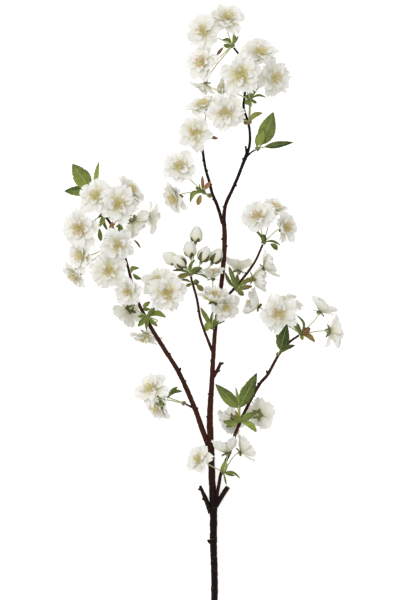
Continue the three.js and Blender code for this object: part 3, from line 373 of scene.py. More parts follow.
class GreenLook(bpy.types.PropertyGroup):
    """Sizes and colours of stalks, cups and leaves."""

    stalk: length("Stalk radius", "Radius of a flower stalk", 0.00062)
    calyx: length("Cup length", "Length of the cup behind the petals", 0.0044)
    knuckle: length("Knuckle radius", "Radius of the knuckle at a spur", 0.0023)
    leaf_thick: length("Leaf thickness", "Thickness of a leaf", 0.0003)
    stalk_green: colour("Stalk", "Colour of a flower stalk", (0.48, 0.53, 0.27))
    sepal_green: colour("Sepal", "Colour of the cups and sepals", (0.080, 0.078, 0.012))
    # The leaf finish blends between these two leaf colours. Painted shade pushes one half of each leaf
    # towards the dark one and painted light pushes the other half towards the pale one.
    dark_leaf: colour("Dark leaf", "Colour of the darkest leaf", (0.032, 0.052, 0.008))
    fresh_leaf: colour("Fresh leaf", "Colour of the palest leaf", (0.34, 0.40, 0.085))
    vein: colour("Vein", "Colour of the ribs and veins", (0.40, 0.50, 0.20))
    flush: colour("Flush", "Colour of a pale young red leaf", (0.46, 0.20, 0.09))
    dark_flush: colour("Dark flush", "Colour of a dark young red leaf", (0.12, 0.055, 0.025))


class BarkLook(bpy.types.PropertyGroup):
    """Relief and colours of the wood."""

    uneven: FloatProperty(name="Unevenness", default=0.15, min=0.0, max=0.5, subtype="FACTOR",
                          description="Swell of the bark as a share of its radius")
    step: length("Ring spacing", "Distance between the rings of the bark's skin", 0.0022)
    old: colour("Old bark", "Colour of the oldest bark", (0.008, 0.004, 0.003))
    young: colour("Young bark", "Colour of the reddish bark", (0.062, 0.017, 0.008))
    pore: colour("Pore", "Colour of the pores", (0.13, 0.07, 0.045))
    cut: colour("Cut wood", "Colour of the cut ends", (0.50, 0.36, 0.20))


class StageLook(bpy.types.PropertyGroup):
    """The floor, the lights and the camera."""

    floor: colour("Floor", "Colour of the floor", (0.85, 0.85, 0.85))
    glow: FloatProperty(name="Floor glow", description="How much the floor shines from below",
                        default=0.6, min=0.0)
    floor_size: length("Floor size", "Side of the floor", 6.0)
    key: FloatProperty(name="Key light", description="Power of the main light", default=32.0,
                       min=0.0, unit="POWER")
    fill: FloatProperty(name="Fill", description="Strength of the light from all round",
                        default=0.52, min=0.0)
    lens: FloatProperty(name="Lens", description="Focal length of the camera", default=200.0,
                        min=1.0, unit="CAMERA")
    view_high: length("View height", "Height of the picture where the blooms lie", 0.66)


# ---------------------------------------------------------------- lines and places

class Draw:
    """A steady stream of numbers from 0 to 1 for a piece's own small differences."""

    def __init__(self, seed):
        self.state = seed * 2654435761.0 + 12345.0

    def __call__(self):
        self.state = (self.state * 1664525.0 + 1013904223.0) % 4294967296.0
        return self.state / 4294967296.0

    def between(self, low, high):
        return low + (high - low) * self()


def mix(a, b, share):
    return a + (b - a) * share


def smooth_step(low, high, value):
    """0 below low, 1 above high and an even S between."""
    t = min(max((value - low) / (high - low), 0), 1)
    return t * t * (3 - 2 * t)


def around(angle, reach, across=0, high=0):
    """The place at an angle round Z: so far out, so far across that way, and so high."""
    c, s = math.cos(angle), math.sin(angle)
    return Vector((reach * c - across * s, reach * s + across * c, high))


def standing(place, way):
    """The matrix that puts a shape, made upright on the origin, at a place and along a way."""
    return Matrix.Translation(place) @ UP.rotation_difference(way).to_matrix().to_4x4()


def smooth_point(knots, t):
    """The place at t, from 0 to 1, on the smooth line through the knots."""
    place = t * (len(knots) - 1)
    k = min(int(place), len(knots) - 2)
    w = place - k
    a, b = knots[k], knots[k + 1]
    before = knots[k - 1] if k > 0 else 2 * a - b
    after = knots[k + 2] if k + 2 < len(knots) else 2 * b - a
    d0, d1, d2 = ((q - p).length ** 0.5 for p, q in ((before, a), (a, b), (b, after)))
    leave = ((a - before) / d0 - (b - before) / (d0 + d1) + (b - a) / d1) * d1
    reach = ((b - a) / d1 - (after - a) / (d1 + d2) + (after - b) / d2) * d1
    bend = 3 * (b - a) - 2 * leave - reach
    return a + leave * w + bend * w * w + (2 * (a - b) + leave + reach) * w ** 3


class Limb:
    """The smooth middle line of a limb, measured along its length."""

    SAMPLES = 200

    def __init__(self, rows):
        self.knots = [Vector(row[:3]) for row in rows]
        self.radii = [row[3] for row in rows]
        self.places = [smooth_point(self.knots, k / self.SAMPLES) for k in range(self.SAMPLES + 1)]
        self.lengths = [0.0]
        for a, b in pairwise(self.places):
            self.lengths.append(self.lengths[-1] + (b - a).length)
        self.long = self.lengths[-1]

    def share(self, u):
        """Where along the knots, from 0 to 1, the place at the share u of the length is."""
        far = u * self.long
        k = max(i for i, measured in enumerate(self.lengths) if measured <= far + 1e-9)
        if k == self.SAMPLES:
            return 1.0
        return (k + (far - self.lengths[k]) / (self.lengths[k + 1] - self.lengths[k])) / self.SAMPLES

    def place(self, u):
        return smooth_point(self.knots, self.share(u))

    def radius(self, u):
        spot = self.share(u) * (len(self.radii) - 1)
        k = min(int(spot), len(self.radii) - 2)
        return mix(self.radii[k], self.radii[k + 1], spot - k)

    def direction(self, t):
        """The way along at t, from 0 to 1, between the knots."""
        low, high = max(t - 0.0001, 0), min(t + 0.0001, 1)
        return (smooth_point(self.knots, high) - smooth_point(self.knots, low)).normalized()


WOOD = {name: Limb(rows) for name, rows in LIMBS.items()}
KNUCKLE = 2.3  # radius of a knuckle


def knuckle_of(spray):
    """The middle of a spray's knuckle, just off the bark, and the way out from its limb."""
    limb = WOOD[spray.limb]
    if spray.at == TIP:
        out = limb.direction(1)
        return limb.knots[-1] + out * (KNUCKLE + GAP), out
    along = limb.direction(spray.at / (len(limb.knots) - 1))
    out = Vector(spray.side)
    out = (out - along * out.dot(along)).normalized()
    return limb.knots[spray.at] + out * (limb.radii[spray.at] + KNUCKLE + GAP), out


def knuckles_of(spray):
    """The knuckle on the bark and, where there is one, the knuckle on the green shoot."""
    places = [knuckle_of(spray)[0]]
    if spray.shoot:
        places.append(Vector(spray.shoot))
    return places


# ---------------------------------------------------------------- blooms and their room

class Petal(NamedTuple):
    """One petal: its place round the bloom, its size and how it is bent, in millimetres."""

    angle: float
    foot: float
    long: float
    half: float
    rise: float
    lift: float
    curl: float
    twist: float
    notch: float
    ruffle: float
    sag: float
    seed: float

    def point(self, u, v):
        """The place at u, from foot to tip, and v, from edge to edge, in the bloom's own frame."""
        crease = Vector((self.seed * 7, v * 2.1, u * 2.3))
        tip = 1 - 0.27 * abs(v) ** 2.2 - self.notch * math.exp(-(v / 0.16) ** 2)
        tip += 0.1 * noise.noise(crease * 2.8)
        out = u * (1 + (tip - 1) * u * u)
        spread = 0.2 + 0.8 * math.sin(math.pi / 2 * min(1, out / 0.7)) ** 1.25
        spread *= 1 - 0.2 * smooth_step(0.68, 1, out)
        across = v * self.half * spread
        along = (self.long - self.foot) * out
        raised = self.curl * v * v * smooth_step(0, 0.6, out) + self.twist * v * out
        raised += (1.1 - self.sag) * math.sin(math.pi * out) - 1.4 * smooth_step(0.7, 1.05, out)
        raised += self.ruffle * out ** 1.6 * 2.2 * noise.noise(crease)
        wave = math.sin(v * 6.5 + self.seed * 11) * abs(v) ** 0.5
        raised += self.ruffle * smooth_step(0.35, 1, out) * 0.6 * wave
        across += self.ruffle * 0.5 * out * noise.noise(crease + UP * 9)
        radial = self.foot + along * math.cos(self.rise) - raised * math.sin(self.rise)
        high = self.lift + along * math.sin(self.rise) + raised * math.cos(self.rise)
        return around(self.angle, radial, across, high)


THROAT = 2.6  # radius of the ring that the petals spring from
THROAT_DEPTH = 3.5  # from a bloom's throat back to its foot
HEART = 4.5  # from a bloom's foot to the middle that it is pressed towards
STAMEN = 8.5  # length of a stamen
REACH = 18.6  # how far a plain petal reaches
BLADE = 0.66  # thickness of a solid's petal
LAP = 7  # how far the petals of neighbours may reach between each other
FLOOR_GAP = 0.35  # how far off the surface the lowest petals stay


class Bloom:
    """Where a bloom sits, which way it faces, its petals and the room that it has."""

    def __init__(self, seed, spray, row, knuckles):
        self.name, x, y, z, fx, fy, fz, self.size, self.opening, which, *by = row
        self.spray = spray
        self.facing = Vector((fx, fy, fz)).normalized()
        self.base = Vector((x, y, z)) - self.facing * THROAT_DEPTH * self.size
        self.middle = self.base + self.facing * HEART * self.size
        self.knuckle = knuckles[which]
        self.by = Vector(by[0]) if by else None
        self.presses = []
        draw = Draw(seed)
        self.outer = [(draw(), draw(), draw()) for _ in range(5)]
        self.inner = [(draw(), draw(), draw()) for _ in range(5)]
        self.lean = (0.4 + 0.2 * draw()) * self.opening
        self.crown = [draw() for _ in range(5)]
        spin = Quaternion(UP, draw() * 1.2)
        self.turn = UP.rotation_difference(self.facing) @ spin
        self.draw = Draw(seed + 100)

    def petals(self, look):
        """The petals from the outer whorl in, each whorl steeper than the one outside it."""
        long, half, ruffle = look.petal_long / MM, look.petal_half / MM, look.ruffle / MM
        draw = self.draw
        made = []
        shut = max(0, 1 - self.opening / 0.6)

        def add(angle, reach, wide, rise, lift, curl, twist, notch, wave):
            made.append(Petal(math.radians(angle), THROAT * 0.55, long * reach, half * wide,
                              math.radians(rise), lift, curl, twist, notch,
                              ruffle * wave * (1 + 0.5 * shut), 3.6 * shut, draw()))

        rise = mix(44, 9, self.opening)
        for i, (a, b, c) in enumerate(self.outer):
            add(72 * i + draw.between(-7, 7), 0.99 + 0.1 * a, draw.between(0.6, 0.84),
                rise + 20 * (b - 0.5), 0, 1.3, 2.4 * (c - 0.5), draw.between(0.06, 0.24), 1.15)
        rise = mix(54, 19, self.opening)
        for i in range(5 if self.opening > 0.7 else 3):
            add(72 * i + draw.between(24, 50), draw.between(0.82, 1), draw.between(0.56, 0.74),
                rise + draw.between(-10, 10), 1.1, 1.3, draw.between(-1.6, 1.6),
                draw.between(0.05, 0.22), 1.2)
        rise = mix(62, 38, self.opening)
        for i, (a, b, c) in enumerate(self.inner[:3]):
            add(120 * i + draw.between(-22, 22), 0.66 * (0.85 + 0.3 * a), draw.between(0.3, 0.48),
                rise + 16 * (b - 0.5), 2, 1, 1.6 * (c - 0.5), draw.between(0.03, 0.16), 1.1)
        for i in range(2):
            add(180 * i + draw.between(0, 120), draw.between(0.46, 0.6), draw.between(0.16, 0.26),
                mix(70, 50, self.opening) + draw.between(-8, 8), 2.6, 0.8, draw.between(-1, 1), 0.05, 0.9)
        return made

    def press(self, points, toward, share):
        """Draws the points past the middle on one side in, to a share of their distance."""
        for p in points:
            reach = (p - self.middle).dot(toward)
            if reach > 0:
                p += toward * reach * (share - 1)

    def set_out(self, points):
        """Points of the bloom's own frame put where the bloom grows, and pressed into its room."""
        placed = [self.base + self.turn @ (point * self.size) for point in points]
        for toward, share in self.presses:
            self.press(placed, toward, share)
        return placed

    def find_room(self, others, look):
        """Works out how far the bloom is pressed in from each side, evenly, three times over."""
        probes = [petal.point(u, v) for petal in self.petals(look)
                  for u, v in ((0.62, -1), (0.62, 1), (1, -0.6), (1, 0), (1, 0.6))]
        self.draw = Draw(self.crown[0] * 1000)
        for i, share in enumerate(self.crown):
            high = STAMEN * (0.85 + 0.3 * share)
            out = around(math.radians(72 * i + 36), 1) * self.lean
            probes.append((out + UP) * high + UP * 2.4)
        points = self.set_out(probes)
        limits = self.limits(others)
        for _ in range(3):
            for toward, room in limits:
                furthest = max((p - self.middle).dot(toward) for p in points)
                if furthest > room:
                    self.presses.append((toward, room / furthest))
                    self.press(points, *self.presses[-1])

    def limits(self, others):
        """Planes that the bloom stays behind: a direction from its middle and its room that way."""
        found = [(-UP, self.middle.z - FLOOR_GAP)]
        for other in others:
            apart = (other.middle - self.middle).length
            if other is self or apart > 3 * REACH:
                continue
            toward = (other.middle - self.middle).normalized()
            share = self.size / (self.size + other.size)
            found.append((toward, apart * share + LAP))
        for limb in WOOD.values():
            clear, nearest = min(
                ((limb.place(k / 50) - self.middle).length - limb.radius(k / 50), k)
                for k in range(51)
            )
            if clear <= 1.5 * REACH:
                toward = (limb.place(nearest / 50) - self.middle).normalized()
                found.append((toward, clear - GAP - BLADE / 2))
        return found

    def seat(self):
        """Where the petals spring from, once the bloom is in its room."""
        ring = [around(math.radians(72 * i - 36), THROAT) for i in range(5)]
        return sum(self.set_out(ring), Vector()) / 5


def all_blooms(look):
    """Every bloom of the sprig, each in its own room."""
    blooms = []
    for spray in SPRAYS:
        knuckles = knuckles_of(spray)
        for row in spray.blooms:
            blooms.append(Bloom(len(blooms) + 1, spray, row, knuckles))
    for bloom in blooms:
        bloom.find_room(blooms, look)
    return blooms


# ---------------------------------------------------------------- mesh helpers

def start_piece(*numbers, mapped=True):
    """An empty bmesh whose points carry the named numbers for their finish, and a map if asked."""
    bm = bmesh.new()
    if mapped:
        bm.loops.layers.uv.new("UVMap")
    for name in numbers:
        bm.verts.layers.float.new(name)
    return bm


def mark(bm, verts, **numbers):
    """Gives points the numbers that their finish reads."""
    for name, number in numbers.items():
        layer = bm.verts.layers.float[name]
        for vert in verts:
            vert[layer] = number


def linked(verts, kind):
    """The edges or the faces round some points, each once and always in the same order."""
    return list(dict.fromkeys(link for vert in verts for link in getattr(vert, kind)))


def verts_in(geom):
    return [g for g in geom if isinstance(g, bmesh.types.BMVert)]


def sweep(bm, places, widths, sides):
    """Draws a ring along a line, with a new row at each place, and closes both ends."""
    frames = []
    ahead, turn = UP, Quaternion()
    last = len(places) - 1
    for k, (place, width) in enumerate(zip(places, widths)):
        way = (places[min(k + 1, last)] - places[max(k - 1, 0)]).normalized()
        turn = ahead.rotation_difference(way) @ turn
        ahead = way
        frames.append(Matrix.LocRotScale(place, turn, Vector((width, width, width))))
    ring = bmesh.ops.create_circle(bm, segments=sides, radius=1, matrix=frames[0])["verts"]
    edges = linked(ring, "link_edges")
    start, rings = edges, [ring]
    for before, after in pairwise(frames):
        grown = bmesh.ops.extrude_edge_only(bm, edges=edges)["geom"]
        ring = verts_in(grown)
        fresh = set(ring)
        edges = [g for g in grown if isinstance(g, bmesh.types.BMEdge) and fresh.issuperset(g.verts)]
        bmesh.ops.transform(bm, matrix=after @ before.inverted(), verts=ring)
        rings.append(ring)
    for loop in (start, edges):
        bmesh.ops.contextual_create(bm, geom=loop)
    return rings


def keep_piece(bm, name, finishes, nodes):
    """Makes a finished bmesh, in millimetres, a piece of the sprig in the row's frame."""
    bmesh.ops.recalc_face_normals(bm, faces=bm.faces)
    bmesh.ops.transform(bm, matrix=TO_METRES, verts=bm.verts)
    mesh = bpy.data.meshes.new(name)
    bm.to_mesh(mesh)
    bm.free()
    mesh.shade_smooth()
    mesh.set_sharp_from_angle(angle=math.radians(62))
    piece = bpy.data.objects.new(name, mesh)
    bpy.context.scene.collection.objects.link(piece)
    for finish in finishes:
        mesh.materials.append(finish)
    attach(piece, "root")
    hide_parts(*nodes)


# ---------------------------------------------------------------- finishes

def operation(kind, swapped=False):
    """A method that adds a Math node of one kind, for 1 - mask with its operands swapped."""

    def method(self, *others):
        operands = (*others, self) if swapped else (self, *others)
        return self.finish.add("ShaderNodeMath", {"operation": kind}, dict(enumerate(operands)))

    return method


class Value:
    """A number that varies over a surface. Sums on it add Math nodes to its finish."""

    def __init__(self, finish, socket):
        self.finish = finish
        self.socket = socket

    __add__ = __radd__ = operation("ADD")
    __sub__ = operation("SUBTRACT")
    __rsub__ = operation("SUBTRACT", swapped=True)
    __mul__ = __rmul__ = operation("MULTIPLY")
    __abs__ = operation("ABSOLUTE")
    sine = operation("SINE")

    def clamped(self):
        return self.finish.add("ShaderNodeClamp", {}, {0: self})

    def step(self, low, high):
        """0 below low, 1 above high and an even S between. With low above high it falls."""
        settings = {"interpolation_type": "SMOOTHSTEP"}
        ends = {1: low, 2: high} if low < high else {1: high, 2: low, 3: 1.0, 4: 0.0}
        return self.finish.add("ShaderNodeMapRange", settings, {0: self, **ends})


class Finish:
    """A material under construction, with one method that adds any node."""

    def __init__(self, name):
        self.material = bpy.data.materials.new(name)
        self.material.use_nodes = True
        self.tree = self.material.node_tree
        self.tree.nodes.clear()

    def add(self, kind, settings, inputs, output=0):
        """Adds a node, sets it up, fills or links its sockets and gives back one of its outputs."""
        node = self.tree.nodes.new(kind)
        for key, value in settings.items():
            setattr(node, key, value)
        for key, value in inputs.items():
            if isinstance(value, Value):
                self.tree.links.new(value.socket, node.inputs[key])
            else:
                node.inputs[key].default_value = value
        return Value(self, node.outputs[output]) if node.outputs else None

    def number(self, name):
        """A number that the piece's own points carry."""
        return self.add("ShaderNodeAttribute", {"attribute_name": name}, {}, "Fac")

    def spot(self, scale=(1, 1, 1)):
        """Places on the piece, in metres, stretched by the scale."""
        where = self.add("ShaderNodeTexCoord", {}, {}, "Object")
        return self.add("ShaderNodeMapping", {}, {"Vector": where, "Scale": scale})

    def across_and_along(self):
        """The two numbers of the piece's own map: across it and along it."""
        where = self.add("ShaderNodeTexCoord", {}, {}, "UV")
        split = self.add("ShaderNodeSeparateXYZ", {}, {0: where})
        return split, Value(self, split.socket.node.outputs[1])

    def grain(self, scale, detail, where):
        return self.add("ShaderNodeTexNoise", {}, {"Vector": where, "Scale": scale, "Detail": detail})

    def blend(self, share, low, high):
        """One colour where the share is 0 and the other where it is 1."""
        low, high = (c if isinstance(c, Value) else (*c, 1.0) for c in (low, high))
        settings = {"data_type": "RGBA"}
        return self.add("ShaderNodeMix", settings, {0: share, 6: low, 7: high}, 2)

    def bump(self, height, distance, strength=1.0):
        inputs = {"Height": height, "Distance": distance, "Strength": strength}
        return self.add("ShaderNodeBump", {}, inputs)

    def done(self, **sockets):
        """Closes the finish with its shader. An underscore in a name stands for a space."""
        named = {}
        for key, value in sockets.items():
            plain = "Color" in key and not isinstance(value, Value)
            named[key.replace("_", " ")] = (*value, 1.0) if plain else value
        shader = self.add("ShaderNodeBsdfPrincipled", {}, named)
        self.add("ShaderNodeOutputMaterial", {}, {"Surface": shader})
        return self.material


def petal_finish(look):
    """Soft white petals, green at the throat, with fine veins that fan towards the rim."""
    f = Finish("petal")
    along, green = f.number("along"), f.number("green")
    across, _ = f.across_and_along()
    veins = ((across + f.grain(260, 2, f.spot()) * 0.07) * 95).sine().step(0.3, 1)
    veins = veins * along.step(1.1, 0.2)
    mottle = f.grain(120, 3, f.spot()).step(0.42, 0.7)
    body = f.blend(veins * 0.25 + mottle * 0.35, look.white, look.shade)
    foot = along.step(0.8, 0.0) * green
    height = veins * 0.5 + f.grain(420, 2, f.spot()) * 0.9
    return f.done(
        Base_Color=f.blend(foot, body, look.throat),
        Roughness=0.6,
        Subsurface_Weight=0.3,
        Subsurface_Radius=(1.0, 0.97, 0.85),
        Subsurface_Scale=0.001,
        Specular_IOR_Level=0.3,
        Normal=f.bump(height, 0.00012),
    )


def stamen_finish(look):
    """Pale threads with yellow to orange grains at their tips."""
    f = Finish("stamen")
    tip, ripe = f.number("grain"), f.number("ripe")
    thread = f.blend(f.number("along").step(0, 0.8), look.throat, look.thread)
    grain = f.blend(ripe, look.grain, look.ripe_grain)
    dust = f.grain(2600, 2, f.spot())
    return f.done(
        Base_Color=f.blend(tip, thread, grain),
        Roughness=0.55 + tip * 0.3,
        Normal=f.bump(dust * tip, 0.0002),
    )


def stalk_finish(look):
    """Pale green stalks that darken to the cups and sepals, flushed here and there."""
    f = Finish("stalk")
    dark = f.number("dark")
    streak = f.grain(300, 3, f.spot((1, 0.25, 1)))
    flush = streak.step(0.56, 0.8) * 0.55
    green = f.blend(dark, look.stalk_green, look.sepal_green)
    return f.done(
        Base_Color=f.blend(flush, green, look.flush),
        Roughness=0.5 + streak * 0.15,
        Subsurface_Weight=0.1,
        Subsurface_Scale=0.001,
        Normal=f.bump(streak, 0.0002),
    )


def leaf_finish(look):
    """Satin leaves with a pale rib, side veins that run forward to the teeth, a red flush, and one half
    painted lighter and the other painted darker as painted light and shade.
    """
    f = Finish("leaf")
    fresh, red = f.number("fresh"), f.number("red")
    across, along = f.across_and_along()
    side = abs(across - 0.5) * 2
    wobble = f.grain(90, 2, f.spot())
    rib = side.step(0.1, 0.02)
    veins = ((along * 9 - side * 2.2 + wobble * 0.4) * math.tau).sine().step(0.82, 0.99)
    veins = veins * side.step(1, 0.7)
    lines = (rib + veins * 0.6).clamped()
    mottle = f.grain(220, 3, f.spot()).step(0.35, 0.75)
    # Painted light and shade: (0.5 - across) * 0.4 paints the half at the low end of the map lighter and
    # the other half darker, like a folded leaf lit from one side. The rest is the leaf's own paleness,
    # random mottle and a paler foot.
    tone = (fresh + mottle * 0.25 + (0.5 - across) * 0.4 + (0.45 - along) * 0.3).clamped()
    green = f.blend(tone, look.dark_leaf, look.fresh_leaf)
    flush = f.blend(fresh, look.dark_flush, look.flush)
    body = f.blend((red * 1.6 + along * 0.9 + mottle * 0.2 - 1.1).clamped(), green, flush)
    puff = (1 - veins) * 0.6 + f.grain(700, 2, f.spot()) * 0.3 - rib * 0.6
    return f.done(
        Base_Color=f.blend(lines * 0.55, body, look.vein),
        Roughness=0.48 + mottle * 0.16,
        Specular_IOR_Level=0.2,
        Subsurface_Weight=0.12,
        Subsurface_Radius=(0.4, 1.0, 0.2),
        Subsurface_Scale=0.0008,
        Normal=f.bump(puff, 0.0004),
    )


def bark_finish(look):
    """Dark reddish bark with cross-wise pores and pale cut ends."""
    f = Finish("bark")
    age, cut = f.number("age"), f.number("cut")
    patch = f.grain(70, 4, f.spot((1, 0.35, 1)))
    fine = f.grain(900, 4, f.spot((0.6, 1.4, 0.6)))
    cells = f.add("ShaderNodeTexVoronoi", {}, {"Vector": f.spot((0.35, 1, 0.35)), "Scale": 480.0})
    pores = cells.step(0.3, 0.12) * patch.step(0.42, 0.5)
    tone = (age + (patch - 0.5) * 1.1).clamped()
    skin = f.blend(tone, look.young, look.old)
    skin = f.blend(pores * 0.7, skin, look.pore)
    rings = (f.number("ring") * 34 + fine * 2).sine().step(-0.4, 1)
    wood = f.blend(rings * 0.5, look.cut, look.pore)
    relief = fine * 0.5 + patch * 0.6 + pores * 0.9
    return f.done(
        Base_Color=f.blend(cut, skin, wood),
        Roughness=(0.55 + fine * 0.35).clamped(),
        Specular_IOR_Level=0.12,
        Normal=f.bump(relief, 0.0006),
    )


def floor_finish(look):
    """A pale, matt floor with the faintest tooth."""
    f = Finish("floor")
    return f.done(
        Base_Color=look.floor,
        Roughness=0.9,
        Specular_IOR_Level=0.1,
        Emission_Color=(1.0, 1.0, 1.0),
        Emission_Strength=look.glow,
        Normal=f.bump(f.grain(300, 2, f.spot()), 0.00003),
    )


# ---------------------------------------------------------------- wood

def make_limb(bm, name, look):
    """The skin of one limb: an uneven round rod, ringed on a spur, with its cut end if it has one."""
    age = bm.verts.layers.float["age"]
    limb = WOOD[name]
    rows = max(4, round(limb.long * MM / look.step))
    shares = [k / rows for k in range(rows + 1)]
    places = [limb.place(u) for u in shares]
    widths = [limb.radius(u) for u in shares]
    if name in SPURS:
        widths = [w * (1 + 0.1 * math.sin(k * 2.6)) for k, w in enumerate(widths)]
    rings = sweep(bm, places, widths, THICK_LIMBS.get(name, 12))
    for place, ring in zip(places, rings):
        for vert in ring:
            swell = noise.noise(vert.co * 0.13) * 0.6 + noise.noise(vert.co * 0.5) * 0.9
            vert.co += (vert.co - place) * look.uneven * swell
            vert[age] = 1 - 0.75 * smooth_step(-230, -120, vert.co.y) * smooth_step(150, 60, vert.co.y)
    if name in CUT_LIMBS:
        end = rings[0] if name == "stem" else rings[-1]
        cap = next(f for f in end[0].link_faces if len(f.verts) > 4)
        bmesh.ops.inset_region(bm, faces=[cap], thickness=0.35)
        mark(bm, cap.verts, cut=1, ring=1)
        mark(bm, bmesh.ops.poke(bm, faces=[cap])["verts"], cut=1)


def make_dormant_bud(bm, name, x, y, size):
    """A pointed bud of a few scales that leans along the limb."""
    limb = WOOD[name]
    beside = Vector((x, y))
    u = min((k / 100 for k in range(101)), key=lambda u: (limb.place(u).xy - beside).length)
    place = limb.place(u)
    along = limb.direction(limb.share(u))
    out = (beside - place.xy).to_3d().normalized() + UP * 0.2
    root = place + out * limb.radius(u) * 0.7
    lean = (out + along * 0.9).normalized()
    verts = bmesh.ops.create_icosphere(bm, subdivisions=3, radius=1)["verts"]
    for vert in verts:
        high = vert.co.z
        scales = 1 + 0.07 * math.sin(high * 14 + math.atan2(vert.co.y, vert.co.x) * 2)
        pinch = (1 - 0.75 * max(high, 0) ** 1.6) * scales
        vert.co = Vector((vert.co.x * pinch * 0.56, vert.co.y * pinch * 0.56, high * 0.95 + 0.35))
        vert.co *= size
    bmesh.ops.transform(bm, matrix=standing(root, lean), verts=verts)
    mark(bm, verts, age=0.75)
    collar = bmesh.ops.create_icosphere(bm, subdivisions=2, radius=size * 0.75)["verts"]
    flat = standing(root, out) @ Matrix.Diagonal((1, 1, 0.4, 1))
    bmesh.ops.transform(bm, matrix=flat, verts=collar)
    mark(bm, collar, age=0.8)


def make_branch(look):
    """The wood, one piece, with its dormant buds."""
    bm = start_piece("age", "cut", "ring", mapped=False)
    for name in LIMBS:
        make_limb(bm, name, look)
    for scar in SCARS:
        make_dormant_bud(bm, *scar)
    keep_piece(bm, "bark", [bark_finish(look)], ["branch"])


# ---------------------------------------------------------------- blooms

def make_petals(bm, bloom, look):
    """Every petal of a bloom, each shaped from a flat grid and given its thickness, and its heart."""
    along = bm.verts.layers.float["along"]
    for petal in bloom.petals(look):
        fine = petal.half * MM > look.petal_half * 0.45
        columns, rows = (10, 11) if fine else (6, 7)
        grid = bmesh.ops.create_grid(bm, x_segments=columns, y_segments=rows, size=1, calc_uvs=True)
        verts = grid["verts"]
        shares = [((vert.co.y + 1) / 2, vert.co.x) for vert in verts]
        places = bloom.set_out(petal.point(u, v) for u, v in shares)
        for vert, place, (u, _) in zip(verts, places, shares):
            vert.co = place
            vert[along] = u
    bmesh.ops.solidify(bm, geom=bm.faces[:], thickness=-look.petal_thick / MM)
    heart = bmesh.ops.create_icosphere(bm, subdivisions=2, radius=THROAT * 1.3)["verts"]
    bmesh.ops.scale(bm, vec=(1, 1, 0.45), verts=heart)
    for vert, place in zip(heart, bloom.set_out(vert.co + UP * 1.5 for vert in heart)):
        vert.co = place
    mark(bm, bm.verts, green=GREEN_THROATS.get(bloom.name, PLAIN_THROAT))


def stamen_pattern(look, high, bend):
    """A stamen that stands up from the origin, bends over and ends in its grain."""
    bm = start_piece("along", "grain", mapped=False)
    thick, long = look.stamen_thick / MM, look.anther / MM
    places = [Vector((bend * (k / 4) ** 2, 0, high * k / 4)) for k in range(5)]
    for k, ring in enumerate(sweep(bm, places, [thick] * 5, 3)):
        mark(bm, ring, along=k / 4)
    lobe = Matrix.Diagonal((long * 0.42, long * 0.34, long * 0.5, 1))
    lobe = standing(places[-1], (places[-1] - places[-2]).normalized()) @ lobe
    verts = bmesh.ops.create_icosphere(bm, subdivisions=1, radius=1)["verts"]
    bmesh.ops.transform(bm, matrix=lobe, verts=verts)
    mark(bm, verts, grain=1)
    bmesh.ops.recalc_face_normals(bm, faces=bm.faces)
    mesh = bpy.data.meshes.new("stamen_pattern")
    bm.to_mesh(mesh)
    bm.free()
    return mesh


def make_stamens(bm, bloom, look, patterns):
    """A brush of stamens round the pistil, wide in an open bloom and close in a young one."""
    draw = bloom.draw
    layer = bm.verts.layers.float["ripe"]
    ripe = RIPE_ANTHERS.get(bloom.name, PLAIN_ANTHERS)
    for i in range(look.stamens):
        old_verts, old_faces = len(bm.verts), len(bm.faces)
        bm.from_mesh(patterns[i % len(patterns)])
        bm.verts.ensure_lookup_table()
        bm.faces.ensure_lookup_table()
        verts = bm.verts[old_verts:]
        angle = i * GOLDEN_ANGLE + draw.between(-0.25, 0.25)
        spread = math.sqrt((i + 0.5) / look.stamens)
        tilt = spread * draw.between(0.8, 1.1) * math.atan(bloom.lean * 1.3)
        foot = around(angle, 1) * THROAT * 0.5 * spread
        turn = Matrix.Rotation(angle, 4, "Z") @ Matrix.Rotation(tilt, 4, "Y")
        size = Matrix.Scale(draw.between(0.85, 1.12), 4)
        bmesh.ops.transform(bm, matrix=Matrix.Translation(foot + UP * 1.8) @ turn @ size, verts=verts)
        for vert, place in zip(verts, bloom.set_out(vert.co for vert in verts)):
            vert.co = place
            vert[layer] = min(1, ripe + draw.between(-0.1, 0.1))
        for face in bm.faces[old_faces:]:
            face.material_index = 1


def make_blossoms(look):
    """The petals and stamens of each bloom, one piece for each."""
    petal, stamen = petal_finish(look), stamen_finish(look)
    long = look.stamen_long / MM
    patterns = [stamen_pattern(look, long * s, b) for s, b in ((1.06, 0.9), (0.9, 1.6), (0.98, 0.2))]
    for bloom in all_blooms(look):
        bm = start_piece("along", "green", "grain", "ripe")
        make_petals(bm, bloom, look)
        make_stamens(bm, bloom, look, patterns)
        node = f"spray_{bloom.spray.name}" if bloom.spray.fused else f"bloom_{bloom.name}"
        keep_piece(bm, f"blossom_{bloom.name}", [petal, stamen], [node])
    for mesh in patterns:
        bpy.data.meshes.remove(mesh)


# ---------------------------------------------------------------- green parts

def stalk_line(knuckle, seat, facing, size, calyx, by=None):
    """Places along a stalk: it leaves the knuckle and comes up behind the cup."""
    foot = seat - facing * calyx * size
    span = (foot - knuckle).length
    if by is not None:
        knots = [knuckle, by, foot - facing * span * 0.15, foot]
        return [smooth_point(knots, k / 16) for k in range(17)]
    near = foot - facing * span * 0.3
    start = ((foot - knuckle).normalized() + UP * 0.35).normalized()
    first = knuckle + start * span * 0.35
    return [
        knuckle * (1 - t) ** 3 + first * 3 * t * (1 - t) ** 2 + near * 3 * t * t * (1 - t) + foot * t ** 3
        for t in (k / 12 for k in range(13))
    ]


